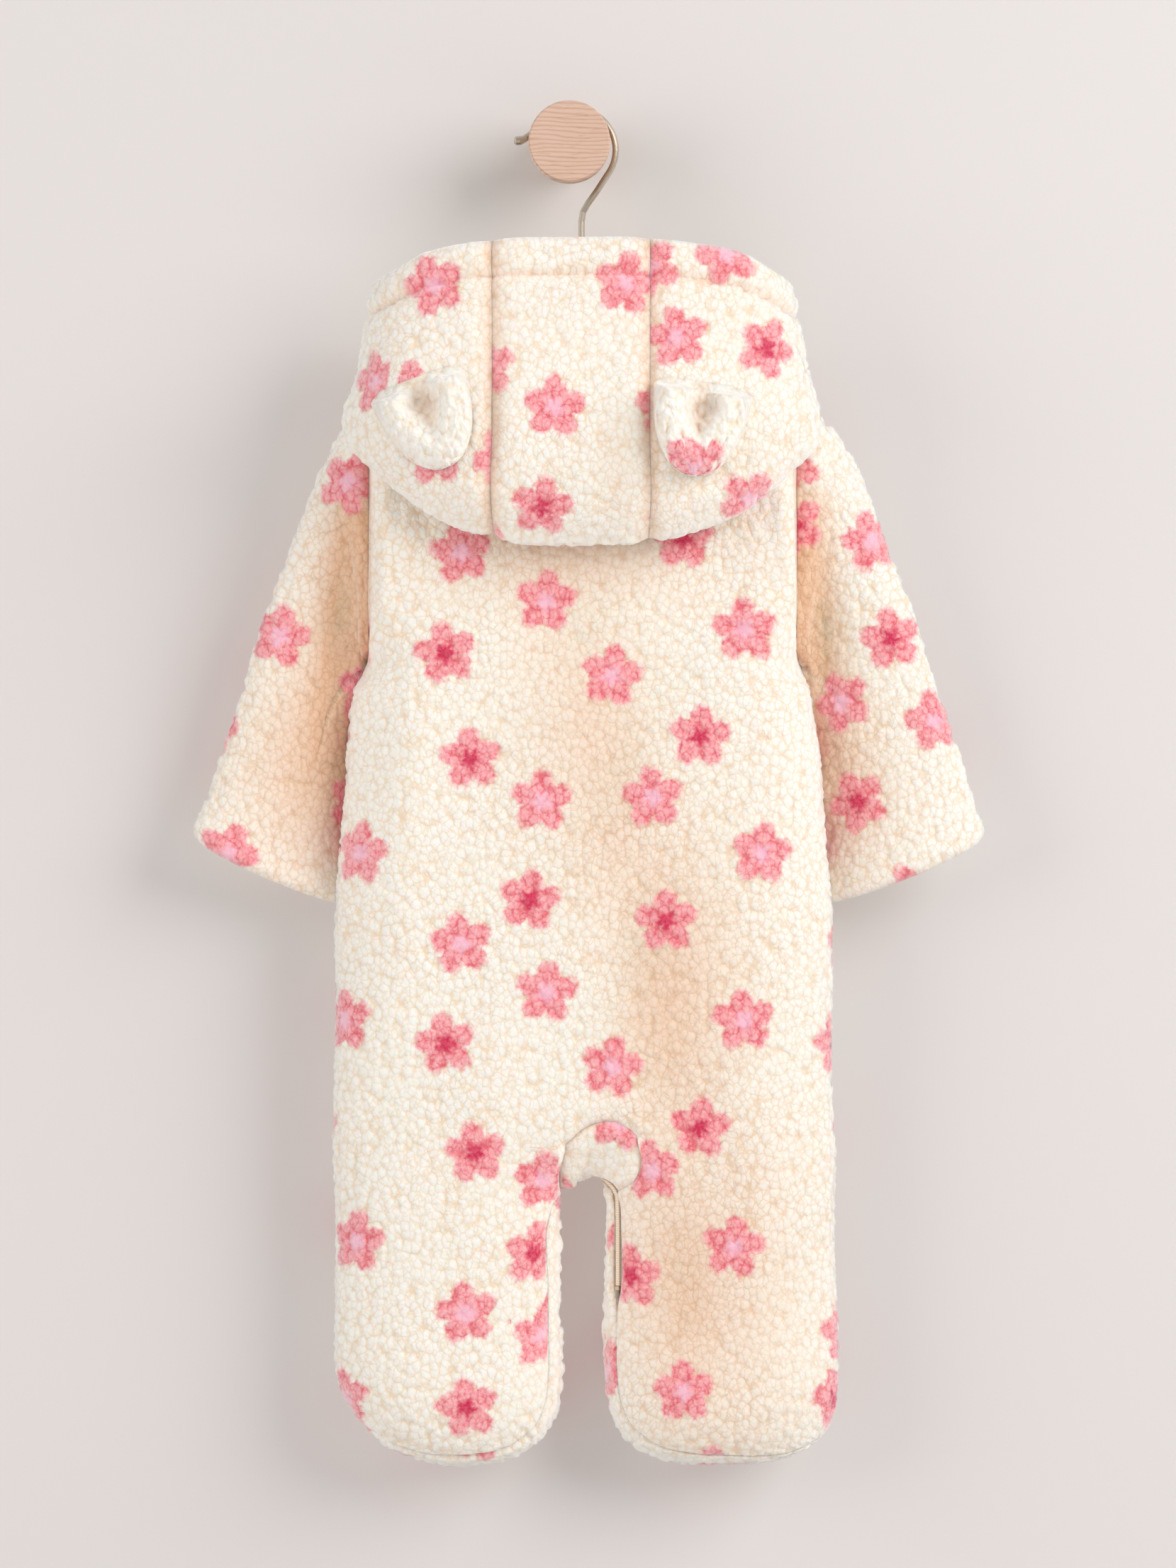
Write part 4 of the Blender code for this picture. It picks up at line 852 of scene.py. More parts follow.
# %% Sleeves and hood
def sleeve_grid(side):
    """A closed tube from the armhole to an open cuff."""
    top = spline([row["top"] for row in SLEEVE], SLEEVE_AT)[:, None]
    low = spline([row["low"] for row in SLEEVE], SLEEVE_AT)[:, None]
    depth = spline([(row["depth"],) for row in SLEEVE], SLEEVE_AT)
    if side < 0:
        top[..., 0] -= spline([(row["slack"],) for row in SLEEVE], SLEEVE_AT)
    turn = np.linspace(0, 2 * math.pi, SLEEVE_COLUMNS + 1)
    turn = turn - CLOSER_AT_EDGES * np.sin(2 * turn)
    outer = (top + low) / 2 + (top - low) / 2 * np.cos(turn)[:, None]
    outer[..., 1] -= depth * np.sin(turn)
    bow = np.interp(SLEEVE_AT, (SLEEVE_AT[-3], SLEEVE_AT[-1]), (0, CUFF_BOW))
    outer[..., 2] -= bow[:, None] * np.abs(np.sin(turn))
    hole = depth_squared(side * ARM_X + 0 * turn, outer[0, :, 2], False)
    hole = -np.sign(np.sin(turn)) * np.sqrt(np.maximum(hole, 0))
    outer[0, :, 1] = hole * ARM_DEPTH / np.max(np.abs(hole))
    spread = SLEEVE_SPREAD["left" if side < 0 else "right"]
    outer[..., 0] = side * (ARM_X + SEAM + outer[..., 0] * spread) + SUIT_X
    outer[..., 1] += SUIT_Y
    rows = np.gradient(outer, axis=0)
    padded = np.concatenate([outer[:, -2:-1], outer, outer[:, 1:2]], 1)
    out = unit(np.cross(np.gradient(padded, axis=1)[:, 1:-1], rows)) * side
    middle, reach = (ARM_TOP + ARM_FOOT) / 2, (ARM_TOP - ARM_FOOT) / 2
    flat = np.stack([0 * turn, (outer[0, :, 1] - SUIT_Y) / ARM_DEPTH ** 2,
                     (outer[0, :, 2] - middle) / reach ** 2], -1)
    out[0] = unit(flat)
    out[1] = unit(out[1] + 0.5 * unit(flat))
    out[:, -1] = out[:, 0]
    return outer, outer - WALL * out


def hood_controls(station, side):
    """Points of the hood's wall at one station, from the neck over the fold to the rim."""
    turn = math.radians(abs(station["turn"]))
    round_x, round_y = math.sin(turn), math.cos(turn)
    x = (NECK_WIDTH - WALL / 2) * round_x
    y = -(NECK_DEPTH - WALL / 2) * round_y
    z = float(top_height(np.array(NECK_WIDTH * round_x), turn > math.pi / 2)) + 0.0006
    away = unit(np.array([round_x * NECK_DEPTH, -round_y * NECK_WIDTH, 0]))
    neck = np.array([x, y, z])
    soft = float(ease((HOOD_STANDS - station["turn"]) / 54))
    bag, full, rim = (np.array(station[k]) * [1, -1, 1] for k in ("bag", "full", "rim"))
    bulge = away * 0.005 - np.array([0, 0, 0.003])
    up = neck + np.array([0, 0, 0.0035])
    crest = up + away * 0.0085 + np.array([0, 0, 0.0085])
    points = [neck, up, crest, mix(crest, bag, 0.42), mix(crest, bag, 0.84), bag,
              mix(bag, full, 0.5) + bulge, full, mix(full, rim, 0.5), rim]
    points = mix(np.linspace(neck, rim, len(points)), np.array(points), soft) * [side, 1, 1]
    return points + [SUIT_X, SUIT_Y, 0], neck_direction(np.array(side * x), np.array(y))


def hood_grid(across):
    """Outer and inner points of a stretch of the hood, one column for each place across."""
    stations = [hood_controls(row, -1) for row in HOOD[:0:-1]]
    stations += [hood_controls(row, 1) for row in HOOD]
    profiles = np.stack([spline(points, HOOD_ALONG) for points, _ in stations])
    directions = np.stack([direction for _, direction in stations])
    mid = np.stack([spline(profiles[:, k], across) for k in range(len(HOOD_ALONG))])
    out = unit(np.cross(np.gradient(mid, axis=1), np.gradient(mid, axis=0)))
    out[0] = unit(np.stack([np.interp(across, range(len(directions)), directions[:, k])
                            for k in range(3)], -1))
    return mid + out * WALL / 2, mid - out * WALL / 2


# %% [markdown]
# ## Fine cloth from coarse grids
#
# A grid of the suit has a point every 5 to 30 mm. Curls of pile need one every 1.3 mm, so
# each stretch between two points is cut into steps along a smooth curve. The lining stays
# four times coarser: nobody sees its fine shape, and it saves half the faces.

# %% Finer grids
# between points of the pile side: big panels are a little coarser, and ears finer
FINE = dict(usual=0.0013, back=0.00142, front=0.0018, ear=0.0011)
COARSER = 4                  # how many of them one step of the lining takes


def steps(layer, axis, fine):
    """How many steps of the lining each stretch between two rows or columns takes."""
    gaps = np.linalg.norm(np.diff(layer, axis=axis), axis=-1).mean(axis=1 - axis)
    return np.maximum(1, np.round(gaps / (COARSER * fine))).astype(int)


def refined(layer, rows, columns):
    """The layer with so many steps in each stretch, on a smooth curve through its points."""
    for axis, counts in ((0, rows), (1, columns)):
        layer = np.moveaxis(layer, axis, 0)
        gaps = np.linalg.norm(np.diff(layer, axis=0), axis=-1).mean(axis=1) + 1e-9
        slope = np.gradient(layer, np.concatenate([[0], np.cumsum(gaps)]), axis=0)
        i = np.append(np.repeat(np.arange(len(counts)), counts), len(counts) - 1)
        t = np.append(np.concatenate([np.arange(n) / n for n in counts]), 1.0)[:, None, None]
        h = gaps[i][:, None, None]
        layer = (layer[i] * (1 + 2 * t) * (1 - t) ** 2 + layer[i + 1] * t * t * (3 - 2 * t)
                 + h * (slope[i] * t * (1 - t) ** 2 + slope[i + 1] * t * t * (t - 1)))
        layer = np.moveaxis(layer, 0, axis)
    return layer


def fine_cloth(grid, fine=FINE["usual"], columns=None):
    """Points of the pile side, the way out of the cloth at each, and the lining's points."""
    outer, inner = grid
    rows = steps(outer, 0, fine)
    columns = steps(outer, 1, fine) if columns is None else columns
    points = refined(outer, rows * COARSER, columns * COARSER)
    out = unit(refined(outer - inner, rows * COARSER, columns * COARSER))
    return dict(points=points, out=out, lining=refined(inner, rows, columns), columns=columns)


# %% [markdown]
# ## Seams, hems and folds
#
# A seam in thick fleece is a furrow: the stitches hold the pile down, and it puffs up beside
# them. Each kind of seam has its own furrow and puff, worked out from how far a point is
# from the seam's line. Where two pieces meet at an angle a dip would pull their edges
# apart, so there only the pile thins out. Folds are broad lifts along short lines.

# %% Lifts beside seams
# depth and width of the furrow, height of the puff and where it is highest, and how strong
# the painted shade in the furrow is, tanned and darker
SEAMS = {row["kind"]: row for row in table(
    "kind dip narrow puff reach warm",
    ("side", 0.0, 0.0022, 0.0004, 0.0060, 0.05),
    ("armhole", 0.0008, 0.0034, 0.0034, 0.0100, 0.70),
    ("sleeve", 0.0008, 0.0034, 0.0014, 0.0080, 0.80),
    ("panel", 0.0012, 0.0046, 0.0016, 0.0100, 0.58),
    ("gusset", 0.0, 0.0024, 0.0020, 0.0070, 0.45),
    ("zip", 0.0, 0.0012, 0.0005, 0.0045, 0.20),
    ("hem", 0.0016, 0.0012, 0.0016, 0.0060, 0.00),
    ("stitch", 0.0020, 0.0022, 0.0014, 0.0060, 0.40))}
SEWN_DOWN = 0.0016           # how far from a seam the pile lies flat under the stitches
AT_ONCE = 20000              # points measured at once, to keep the table of distances small


def distance(points, line):
    """How far each point is from the nearest point of a line."""
    flat = points.reshape(-1, 3)
    near = np.empty(len(flat))
    for start in range(0, len(flat), AT_ONCE):
        part = flat[start:start + AT_ONCE, None]
        near[start:start + AT_ONCE] = np.sqrt(((part - line[None]) ** 2).sum(-1).min(1))
    return near.reshape(points.shape[:-1])


def seam_lift(points, kind, line):
    """The lift beside a seam, how much painted shade its furrow gets, and how free the pile is to
    stand.
    """
    seam = SEAMS[kind]
    far = distance(points, line)
    puffed = far / seam["reach"] * np.exp(1 - far / seam["reach"])
    furrow = np.exp(-(far / seam["narrow"]) ** 2)
    free = 1 if kind in ("hem", "stitch") else 1 - np.exp(-(far / SEWN_DOWN) ** 2)
    return seam["puff"] * puffed ** 1.5 - seam["dip"] * furrow, seam["warm"] * furrow, free


def fold_lift(points, rows):
    """Broad folds on the side that is seen, each along a line from one place to another."""
    lift = np.zeros(points.shape[:-1])
    place = points[..., [0, 2]]
    for row in rows:
        start, end = np.array(row["start"]), np.array(row["end"])
        run = end - start
        share = np.clip(((place - start) @ run) / (run @ run), 0, 1)
        far = np.linalg.norm(place - start - share[..., None] * run, axis=-1)
        fading = np.sin(np.pi * (0.15 + 0.7 * share))
        lift += row["rise"] * np.exp(-(far / row["width"]) ** 2) * fading
    return lift * (points[..., 1] < SUIT_Y)


UNEVEN = 0.0008


def sway(points):
    """The slow unevenness of hanging cloth."""
    x, z = points[..., 0], points[..., 2]
    return UNEVEN * (np.sin(x / 0.019 + 1.7 * np.sin(z / 0.041)) * np.sin(z / 0.033 + 0.9)
                     + 0.7 * np.sin(x / 0.011 - z / 0.017 + 2.0))


# %% [markdown]
# ## The print
#
# The fleece is printed with five-petalled flowers before it is cut: twelve of them in a
# repeat, and each pattern piece takes its own stretch of it, the sleeves along their length.
# So the print is worked out in the flat cut, as on a cutting table. Every point of the
# cloth notes its place on the nearest flower, and the shader draws petals from that. On the
# legs, the hood's sides and the ears the cloth is stretched or small, so there each flower
# has a place of its own.

# %% The repeat and where the pieces are cut from it
REPEAT = (0.212, 0.205)
FLOWER = 0.0172              # radius out to the tips of the petals
PRINTED = 1.15               # how far a flower's colour can reach, in radii
BETWEEN = 0.28               # and how much closer than the next flower it has to be
FAR_OFF = 9                  # stands for no flower at all
# centre of each flower in the frame of the back, dark or pale heart, and its turn
PRINT = table("x z dark turn",
              (-0.0568, -0.2164, 0, 8), (-0.0120, -0.2411, 0, -6),
              (-0.0650, -0.2690, 1, 10), (0.0912, -0.2567, 0, 4),
              (0.0222, -0.2809, 0, -10), (0.0686, -0.3130, 1, -4),
              (-0.0518, -0.3245, 1, 6), (-0.0148, -0.3459, 0, -3),
              (0.0436, -0.3447, 0, 5), (0.1011, -0.3739, 0, -7),
              (-0.0210, -0.3981, 1, -8), (0.0509, -0.4096, 1, 2))
# where a piece's own middle lies, where that is on the print, and how its grain is turned
CUT = {row["name"]: row for row in table(
    "name middle print turn",
    ("back_panel", (0, 0), (0, 0), 0),
    ("hood_centre", (0.0020, -0.1387), (-0.0051, -0.1365), 0),
    ("sleeve_left", (-0.1486, -0.2697), (-0.1135, -0.0597), 18),
    ("sleeve_right", (0.1657, -0.3016), (-0.2491, -0.0252), -18),
    ("front_left", (0, 0), (0.070, 0.040), 0),
    ("front_right", (0, 0), (0.010, 0.090), 0),
    ("crotch_gusset", (0.0255, -0.5190), (0.0912, -0.2620), 20))}
# the back takes the repeat only between these heights
REPEAT_STARTS, REPEAT_ENDS = -0.208, -0.525
LEG_PRINT = table("x z dark turn",
                  (0.0595, -0.2090, 1, 0), (-0.0148, -0.1409, 0, 0),
                  (-0.0502, -0.5310, 1, 6), (-0.0140, -0.5460, 0, -3),
                  (-0.1141, -0.5781, 0, -7), (-0.0187, -0.5854, 1, -8),
                  (-0.0552, -0.6151, 0, 8), (-0.0136, -0.6296, 0, -6),
                  (-0.1240, -0.6610, 0, 4), (-0.0546, -0.6649, 1, 10),
                  (0.0429, -0.5405, 0, 5), (0.0860, -0.5805, 0, -7),
                  (0.0316, -0.5976, 1, 2), (0.1500, -0.6264, 0, 8),
                  (0.0599, -0.6563, 0, 4), (0.1446, -0.6609, 1, 10),
                  (0.0748, -0.7030, 0, -4))
# the small pieces, and one flower more for a sleeve
OWN_PRINT = dict(
    hood_left=table("x z dark turn",
                    (-0.0703, -0.0787, 0, 18), (-0.1045, -0.1290, 0, 10), (-0.0826, -0.1345, 0, 0),
                    (-0.0340, -0.1700, 0, 20), (-0.0700, -0.1675, 0, 5)),
    hood_right=table("x z dark turn",
                     (0.0410, -0.0690, 0, 30), (0.0559, -0.1062, 0, 8), (0.1044, -0.1115, 1, -25),
                     (0.0818, -0.0620, 0, 15), (0.0940, -0.1920, 0, -30)),
    ear_left=[], ear_right=table("x z dark turn", (0.0653, -0.1810, 0, 0)),
    sleeve_right=table("x z dark turn", (-0.2544, 0.1159, 0, 10)))


def rotated(x, z, turn):
    """A place turned about the origin by an angle in degrees."""
    cos, sin = math.cos(math.radians(turn)), math.sin(math.radians(turn))
    return x * cos - z * sin, x * sin + z * cos


def flowers(name, across, up):
    """The flowers that can reach a piece laid flat, each with its own place in the print."""
    if name not in CUT:
        return OWN_PRINT[name]
    found = [dict(row, x=row["x"] + i * REPEAT[0], z=row["z"] + j * REPEAT[1])
             for row in PRINT for i in range(-3, 4) for j in range(-4, 4)]
    if name == "back_panel":
        found = [row for row in found if REPEAT_ENDS < row["z"] < REPEAT_STARTS] + LEG_PRINT
    found = found + OWN_PRINT.get(name, [])
    return [row for row in found if across.min() - FLOWER < row["x"] < across.max() + FLOWER
            and up.min() - FLOWER < row["z"] < up.max() + FLOWER]


def printed(name, across, up):
    """For every place of the cut: where it lies on its flower, dark or pale, and 1 near one."""
    if name in CUT:
        cut = CUT[name]
        x, z = rotated(across - cut["middle"][0], up - cut["middle"][1], cut["turn"])
        across, up = cut["print"][0] + x, cut["print"][1] + z
    nothing = 0 * across
    found = np.stack([FAR_OFF + nothing, FAR_OFF + nothing, nothing], -1)
    nearest, second = FAR_OFF + nothing, FAR_OFF + nothing
    for row in flowers(name, across, up):
        x, z = rotated(across - row["x"], up - row["z"], -row["turn"])
        here = np.stack([x / FLOWER, z / FLOWER, row["dark"] + nothing], -1)
        far = np.hypot(x, z) / FLOWER
        second = np.minimum(second, np.maximum(far, nearest))
        closer = far < nearest
        found[closer], nearest[closer] = here[closer], far[closer]
    return found, np.where((nearest < PRINTED) & (second - nearest > BETWEEN), 1.0, 0.0)


def added_up(lengths, axis):
    """Lengths added up along an axis, from 0."""
    return np.insert(np.cumsum(lengths, axis), 0, 0, axis)


def laid_flat(points, column, row, start=None):
    """Each point's place in the flat cut, measured along the cloth from a column and a row."""
    side, down = np.diff(points, axis=1), np.diff(points, axis=0)
    across = added_up(np.hypot(side[..., 0], side[..., 1]), 1)
    way = np.sign(np.gradient(points[len(points) // 2, :, 0])[column])
    across = points[:, column, 0][:, None] + way * (across - across[:, column][:, None])
    up = added_up(np.hypot(down[..., 1], down[..., 2]), 0)
    way = np.sign(points[-1, column, 2] - points[0, column, 2])
    up = points[row, :, 2] + way * (up - up[row])
    if start is not None:
        across += start - across[0, column]
    return across, up


print("flowers in the repeat:", len(PRINT), "placed one by one:",
      len(LEG_PRINT) + sum(len(rows) for rows in OWN_PRINT.values()))


# %% [markdown]
# ## Sewing a piece
#
# One cut-and-sewn piece is a closed shell: the pile side, the lining, and a narrow edge
# between them. It is made in mesh code, because its points come from the forms above, and
# its pile is then lifted by the modifier, which is applied.

# %% Faces from grids
APART = 2e5                  # points along a metre that still count as different ones


def numbered(grids):
    """Numbers of the outer points of each grid, where points at one place share a number."""
    flat = np.concatenate([g["points"].reshape(-1, 3) for g in grids])
    keys = np.round(flat * APART).astype(np.int64)
    _, first, number = np.unique(keys, axis=0, return_index=True, return_inverse=True)
    shapes = [g["points"].shape[:2] for g in grids]
    ends = np.cumsum([rows * columns for rows, columns in shapes])[:-1]
    parts = np.split(number.reshape(-1), ends)
    return [part.reshape(shape) for part, shape in zip(parts, shapes)], first


def quads(number):
    """Faces between the rows and columns of a grid of numbers."""
    corners = (number[:-1, :-1], number[:-1, 1:], number[1:, 1:], number[1:, :-1])
    found = []
    for ring in np.stack(corners, -1).reshape(-1, 4).tolist():
        ring = [k for n, k in enumerate(ring) if k != ring[n - 1]]
        if len(ring) > 2:
            found.append(ring)
    return found


def rim_faces(numbers, inside, uses):
    """The narrow edge between pile and lining, where an edge of the lining is used once."""
    found = []
    for number in numbers:
        for line in (number[0], number[-1], number[:, 0], number[:, -1]):
            for start in range(0, len(line) - 1, COARSER):
                chain = line[start:start + COARSER + 1].tolist()
                if uses.get(tuple(sorted((chain[0], chain[-1])))) == 1:
                    found.append(chain + [inside[chain[-1]], inside[chain[0]]])
    return found


# %% From faces to a piece
PILE_HEIGHT = 0.0022


def note(mesh, values):
    """Write what each point knows on the mesh, for the pile and the finish to read."""
    for key, value in values.items():
        flat = value.ndim == 1
        layer = mesh.attributes.new(key, "FLOAT" if flat else "FLOAT_VECTOR", "POINT")
        layer.data.foreach_set("value" if flat else "vector", value.reshape(-1).astype(np.float32))


def raise_pile(piece):
    """Lift the pile with the modifier, and apply it."""
    bpy.ops.object.select_all(action="DESELECT")
    bpy.context.view_layer.objects.active = piece
    piece.select_set(True)
    piece.modifiers.new("pile", "NODES").node_group = PILE
    bpy.ops.object.modifier_apply(modifier="pile")


def sewn(name, grids):
    """A closed piece from its grids, with the pile, the print and its two materials."""
    numbers, first = numbered(grids)

    def gathered(key):
        return np.concatenate([g[key].reshape(-1, *g[key].shape[2:]) for g in grids])[first]

    outside = gathered("points") + gathered("out") * gathered("lift")[:, None]
    faces = [ring for number in numbers for ring in quads(number)]
    outside_faces = len(faces)
    coarse = [number[::COARSER, ::COARSER] for number in numbers]
    used, place = np.unique(np.concatenate([n.reshape(-1) for n in coarse]), return_index=True)
    lining = np.concatenate([g["lining"].reshape(-1, 3) for g in grids])[place]
    inside = {int(k): len(outside) + i for i, k in enumerate(used)}
    uses = {}
    for ring in (ring for number in coarse for ring in quads(number)):
        faces.append([inside[k] for k in reversed(ring)])
        for n, k in enumerate(ring):
            edge = tuple(sorted((ring[n - 1], k)))
            uses[edge] = uses.get(edge, 0) + 1
    lining_faces = len(faces)
    faces += rim_faces(numbers, inside, uses)
    mesh = bpy.data.meshes.new(name)
    mesh.from_pydata(outside.tolist() + lining.tolist(), [], faces)
    kind = np.zeros(len(faces), np.int32)
    kind[outside_faces:lining_faces] = 1
    mesh.polygons.foreach_set("material_index", kind)
    none = np.zeros(len(lining))
    far_off = np.full((len(lining), 3), float(FAR_OFF))
    # deep carries each point's painted shade to the finish
    note(mesh, dict(long=np.append(PILE_HEIGHT * gathered("long"), none),
                    near=np.append(gathered("near"), none),
                    deep=np.append(gathered("deep"), none),
                    out=np.concatenate([gathered("out"), np.zeros_like(lining)]),
                    flower=np.concatenate([gathered("flower"), far_off]),
                    cloth=np.concatenate([gathered("points"), lining])))
    edit = bmesh.new()
    edit.from_mesh(mesh)
    bmesh.ops.recalc_face_normals(edit, faces=edit.faces)
    open_edges = sum(len(edge.link_faces) != 2 for edge in edit.edges)
    edit.to_mesh(mesh)
    edit.free()
    mesh.shade_smooth()
    mesh.polygons.foreach_set("use_smooth", np.arange(len(faces)) < lining_faces)
    piece = bpy.data.objects.new(name + "_cloth", mesh)
    bpy.context.scene.collection.objects.link(piece)
    raise_pile(piece)
    mesh.materials.append(FLEECE)
    mesh.materials.append(LINING)
    print(name, "faces:", len(mesh.polygons), "open edges:", open_edges)
    return piece


# %% What each point of a grid knows
FULLY_SHADED_FOLD = 0.0080             # a fold that sinks this far gets the fullest painted shade
SHORTEST, LONGER = 0.86, 1.3  # the pile, facing the viewer and more where it faces sideways


def prepared(name, grid, lines, column, row, start=None, folds=(), long=1.0, deep=None):
    """A fine grid with its lifts, its painted shade and its print, ready to be sewn."""
    points = grid["points"]
    lift = fold_lift(points, folds)
    # painted shade for the colour: in folds that sink, plus what deep gives
    painted_shade = np.clip(-lift / FULLY_SHADED_FOLD, 0, 1) + (0 if deep is None else deep(points))
    length = long * (SHORTEST + LONGER * (1 - np.abs(grid["out"][..., 1])) ** 2)
    lift = lift + sway(points)
    for kind, line in lines:
        beside, warm, free = seam_lift(points, kind, line)
        lift = lift * free + beside
        # painted shade in the seam's furrow
        painted_shade = np.maximum(painted_shade, warm)
        length = length * free
    across, up = laid_flat(points, column, row, start)
    flower, near = printed(name, across, up)
    return dict(grid, lift=lift, deep=painted_shade, long=length, across=across, flower=flower, near=near)


# %% [markdown]
# ## Teddy fleece as a finish
#
# Three things make it read as teddy fleece. The creases, the low places between the knobs,
# seam furrows, sunken folds, hollows and broad patches of the back are painted tanned and a
# little darker, as painted shade. The surface is matt but glows at the rim, from the loose
# ends of the fibres, which is what sheen does. And light passes through the knobs, so a
# little of it scatters below the surface.

# %% Fleece and lining
def unprinted(recipe, place, height, crease):
    """The cream of the fleece, tanned as painted shade where the pile is low, creased or deep."""
    drift = recipe.noise(place, 24.0, 2.0)
    # deep: how much painted shade a point gets, in sunken folds, seam furrows, hollows and broad
    # patches
    deep = recipe.attribute("deep")
    # low: how far below a knob's top a place lies, where the pile is painted darker as shade
    low = (1.0 - height) ** 1.5
    fluff = recipe.step(recipe.attribute("long"), 0.0025, 0.0036)
    cream = recipe.mix(drift, tint(255, 249, 240), tint(255, 254, 250))
    # painted shade where deep is high
    cream = recipe.mix(deep, cream, tint(238, 199, 167))
    # painted shade between the knobs, darker still where deep is high
    low_pile_shade = recipe.mix(deep, tint(244, 218, 184), tint(222, 172, 130))
    cream = recipe.mix(low * 0.60, cream, low_pile_shade)
    # painted shade on the crease lines, stronger at random and weaker where the pile is long
    line = recipe.mix(deep, tint(232, 198, 158), tint(206, 152, 112))
    return recipe.mix(crease * (0.10 + 0.46 * drift) * (1.0 - fluff * 0.7), cream, line)


def flower_masks(recipe, place):
    """Petals and heart of the nearest flower, 0 to 1 each, and 1 if its heart is dark."""
    flower = recipe.vector("ADD", recipe.attribute("flower", "Vector"),
                           recipe.wander(place, 260.0, 3.0, (0.38, 0.38, 0.0)))
    x, y, dark = recipe.parts(flower)
    out = ((x * x) + (y * y)) ** 0.5
    five_times = x.sum("ARCTAN2", x, y) * 5.0
    petals = x.sum("COSINE", five_times)
    reach = 0.60 + 0.36 * (petals * 0.5 + 0.5).clip() ** 0.5
    near = recipe.attribute("near")
    petal = (1.0 - recipe.step(out - reach, -0.14, 0.14)) * near
    heart = (1.0 - recipe.step(out + petals * 0.06 - dark * 0.03, 0.10, 0.38)) * near
    return petal, heart, dark


def fleece():
    """Cream teddy fleece with its printed flowers."""
    made, recipe = new_material("teddy_fleece")
    place = recipe.attribute("cloth", "Vector")
    bent = bent_place(recipe, place)
    height, crease = pile(recipe, bent), creases(recipe, bent)
    petal, heart, dark = flower_masks(recipe, place)
    fleck = recipe.step(recipe.noise(place, 620.0, 2.0), 0.38, 0.62)
    # the petals are painted darker in the creases and lighter on the knobs, as painted shade, with
    # random flecks
    ink_shaded_and_flecked = (height - crease * 0.3 + fleck * 0.15).clip()
    pink = recipe.mix(ink_shaded_and_flecked, tint(232, 92, 114), tint(255, 172, 180))
    middle = recipe.mix(dark, tint(255, 206, 228), tint(212, 0, 78))
    cream = unprinted(recipe, place, height, crease)
    colour = recipe.mix(petal * (0.96 - 0.16 * fleck), cream, pink)
    colour = recipe.mix(heart * (0.76 + 0.24 * dark - 0.16 * fleck), colour, middle)
    fibres = recipe.noise(place, 1500.0, 2.0)
    finish_material(recipe, {"Base Color": colour, "Roughness": 0.95,
                             "Normal": recipe.bump(height + fibres * 0.25, 0.55, 0.0012),
                             "Specular IOR Level": 0.1, "Sheen Weight": 1.0, "Sheen Roughness": 0.55,
                             "Sheen Tint": (1.0, 0.99, 0.98, 1.0),
                             "Subsurface Weight": 0.5, "Subsurface Radius": (1.0, 0.62, 0.42),
                             "Subsurface Scale": 0.003})
    return made


def lining():
    """The plain knitted back of the fleece, with its fine ribs."""
    made, recipe = new_material("knit_lining")
    ribs = recipe.add("ShaderNodeTexWave", dict(bands_direction="X"),
                      {"Vector": recipe.place(), "Scale": 210.0, "Distortion": 2.0, "Detail": 1.0})
    colour = recipe.mix(ribs, tint(240, 230, 208), tint(248, 240, 222))
    finish_material(recipe, {"Base Color": colour, "Roughness": 0.9,
                             "Normal": recipe.bump(ribs, 0.3, 0.0004)})
    return made


FLEECE, LINING = fleece(), lining()
print("fleece nodes:", len(FLEECE.node_tree.nodes))


# %% [markdown]
# ## The body
#
# The back is one piece from the shoulders to the soles. The two fronts and the gusset close
# it on the wall's side and between the legs. The side seams lie along the outline, and a
# puffed furrow runs down each armhole.

# %% Back
BACK_FOLDS = table("start end width rise",
                   ((-0.078, -0.215), (-0.088, -0.420), 0.013, 0.0022),
                   ((0.098, -0.200), (0.104, -0.330), 0.010, 0.0020),
                   ((0.020, -0.300), (0.050, -0.520), 0.022, -0.0022),
                   ((-0.030, -0.430), (-0.055, -0.560), 0.018, 0.0018),
                   ((0.052, -0.560), (0.060, -0.640), 0.020, -0.0024),
                   ((0.095, -0.470), (0.105, -0.660), 0.018, 0.0020),
                   ((-0.010, -0.225), (0.005, -0.290), 0.030, -0.0016),
                   ((-0.094, -0.165), (-0.095, -0.245), 0.0050, 0.0030),
                   ((-0.084, -0.180), (-0.086, -0.235), 0.0045, 0.0018),
                   ((0.110, -0.180), (0.118, -0.245), 0.0060, 0.0030),
                   ((0.122, -0.190), (0.128, -0.230), 0.0045, 0.0018))

# painted shade: broad tanned patches over parts of the back's seen side, where it lies in shade
BACK_PAINTED_SHADE = table("x z wide tall much",
                  (0.012, -0.330, 0.040, 0.080, 0.32),
                  (0.060, -0.450, 0.034, 0.090, 0.50),
                  (0.006, -0.215, 0.075, 0.030, 0.40),
                  (0.072, -0.600, 0.046, 0.100, 0.46))


def painted_shade_on_back(points):
    """How much painted shade each point of the back's seen side gets from the broad patches."""
    much = np.zeros(points.shape[:-1])
    for row in BACK_PAINTED_SHADE:
        x, z = (points[..., 0] - row["x"]) / row["wide"], (points[..., 2] - row["z"]) / row["tall"]
        much = np.maximum(much, row["much"] * np.exp(-x ** 2 - z ** 2))
    return much * (points[..., 1] < SUIT_Y)


def body_grids(trunk, legs, fine):
    """Fine grids of a body panel: its trunk and its legs, which share the fork row."""
    main = fine_cloth(trunk, fine)
    stretches = len(LEG_COLUMNS) - 1
    made = [main]
    for grid, end in legs:
        leg_part = fine_cloth(grid, fine, end(main["columns"], stretches))
        made.append(leg_part)
        for key in ("points", "out", "lining"):
            end(main[key][-1], leg_part[key].shape[1])[:] = leg_part[key][0]
    return made


def left_end(values, count):
    """The first so many values, for a leg on the left."""
    return values[:count]


def right_end(values, count):
    """The last so many values, for a leg on the right."""
    return values[-count:]


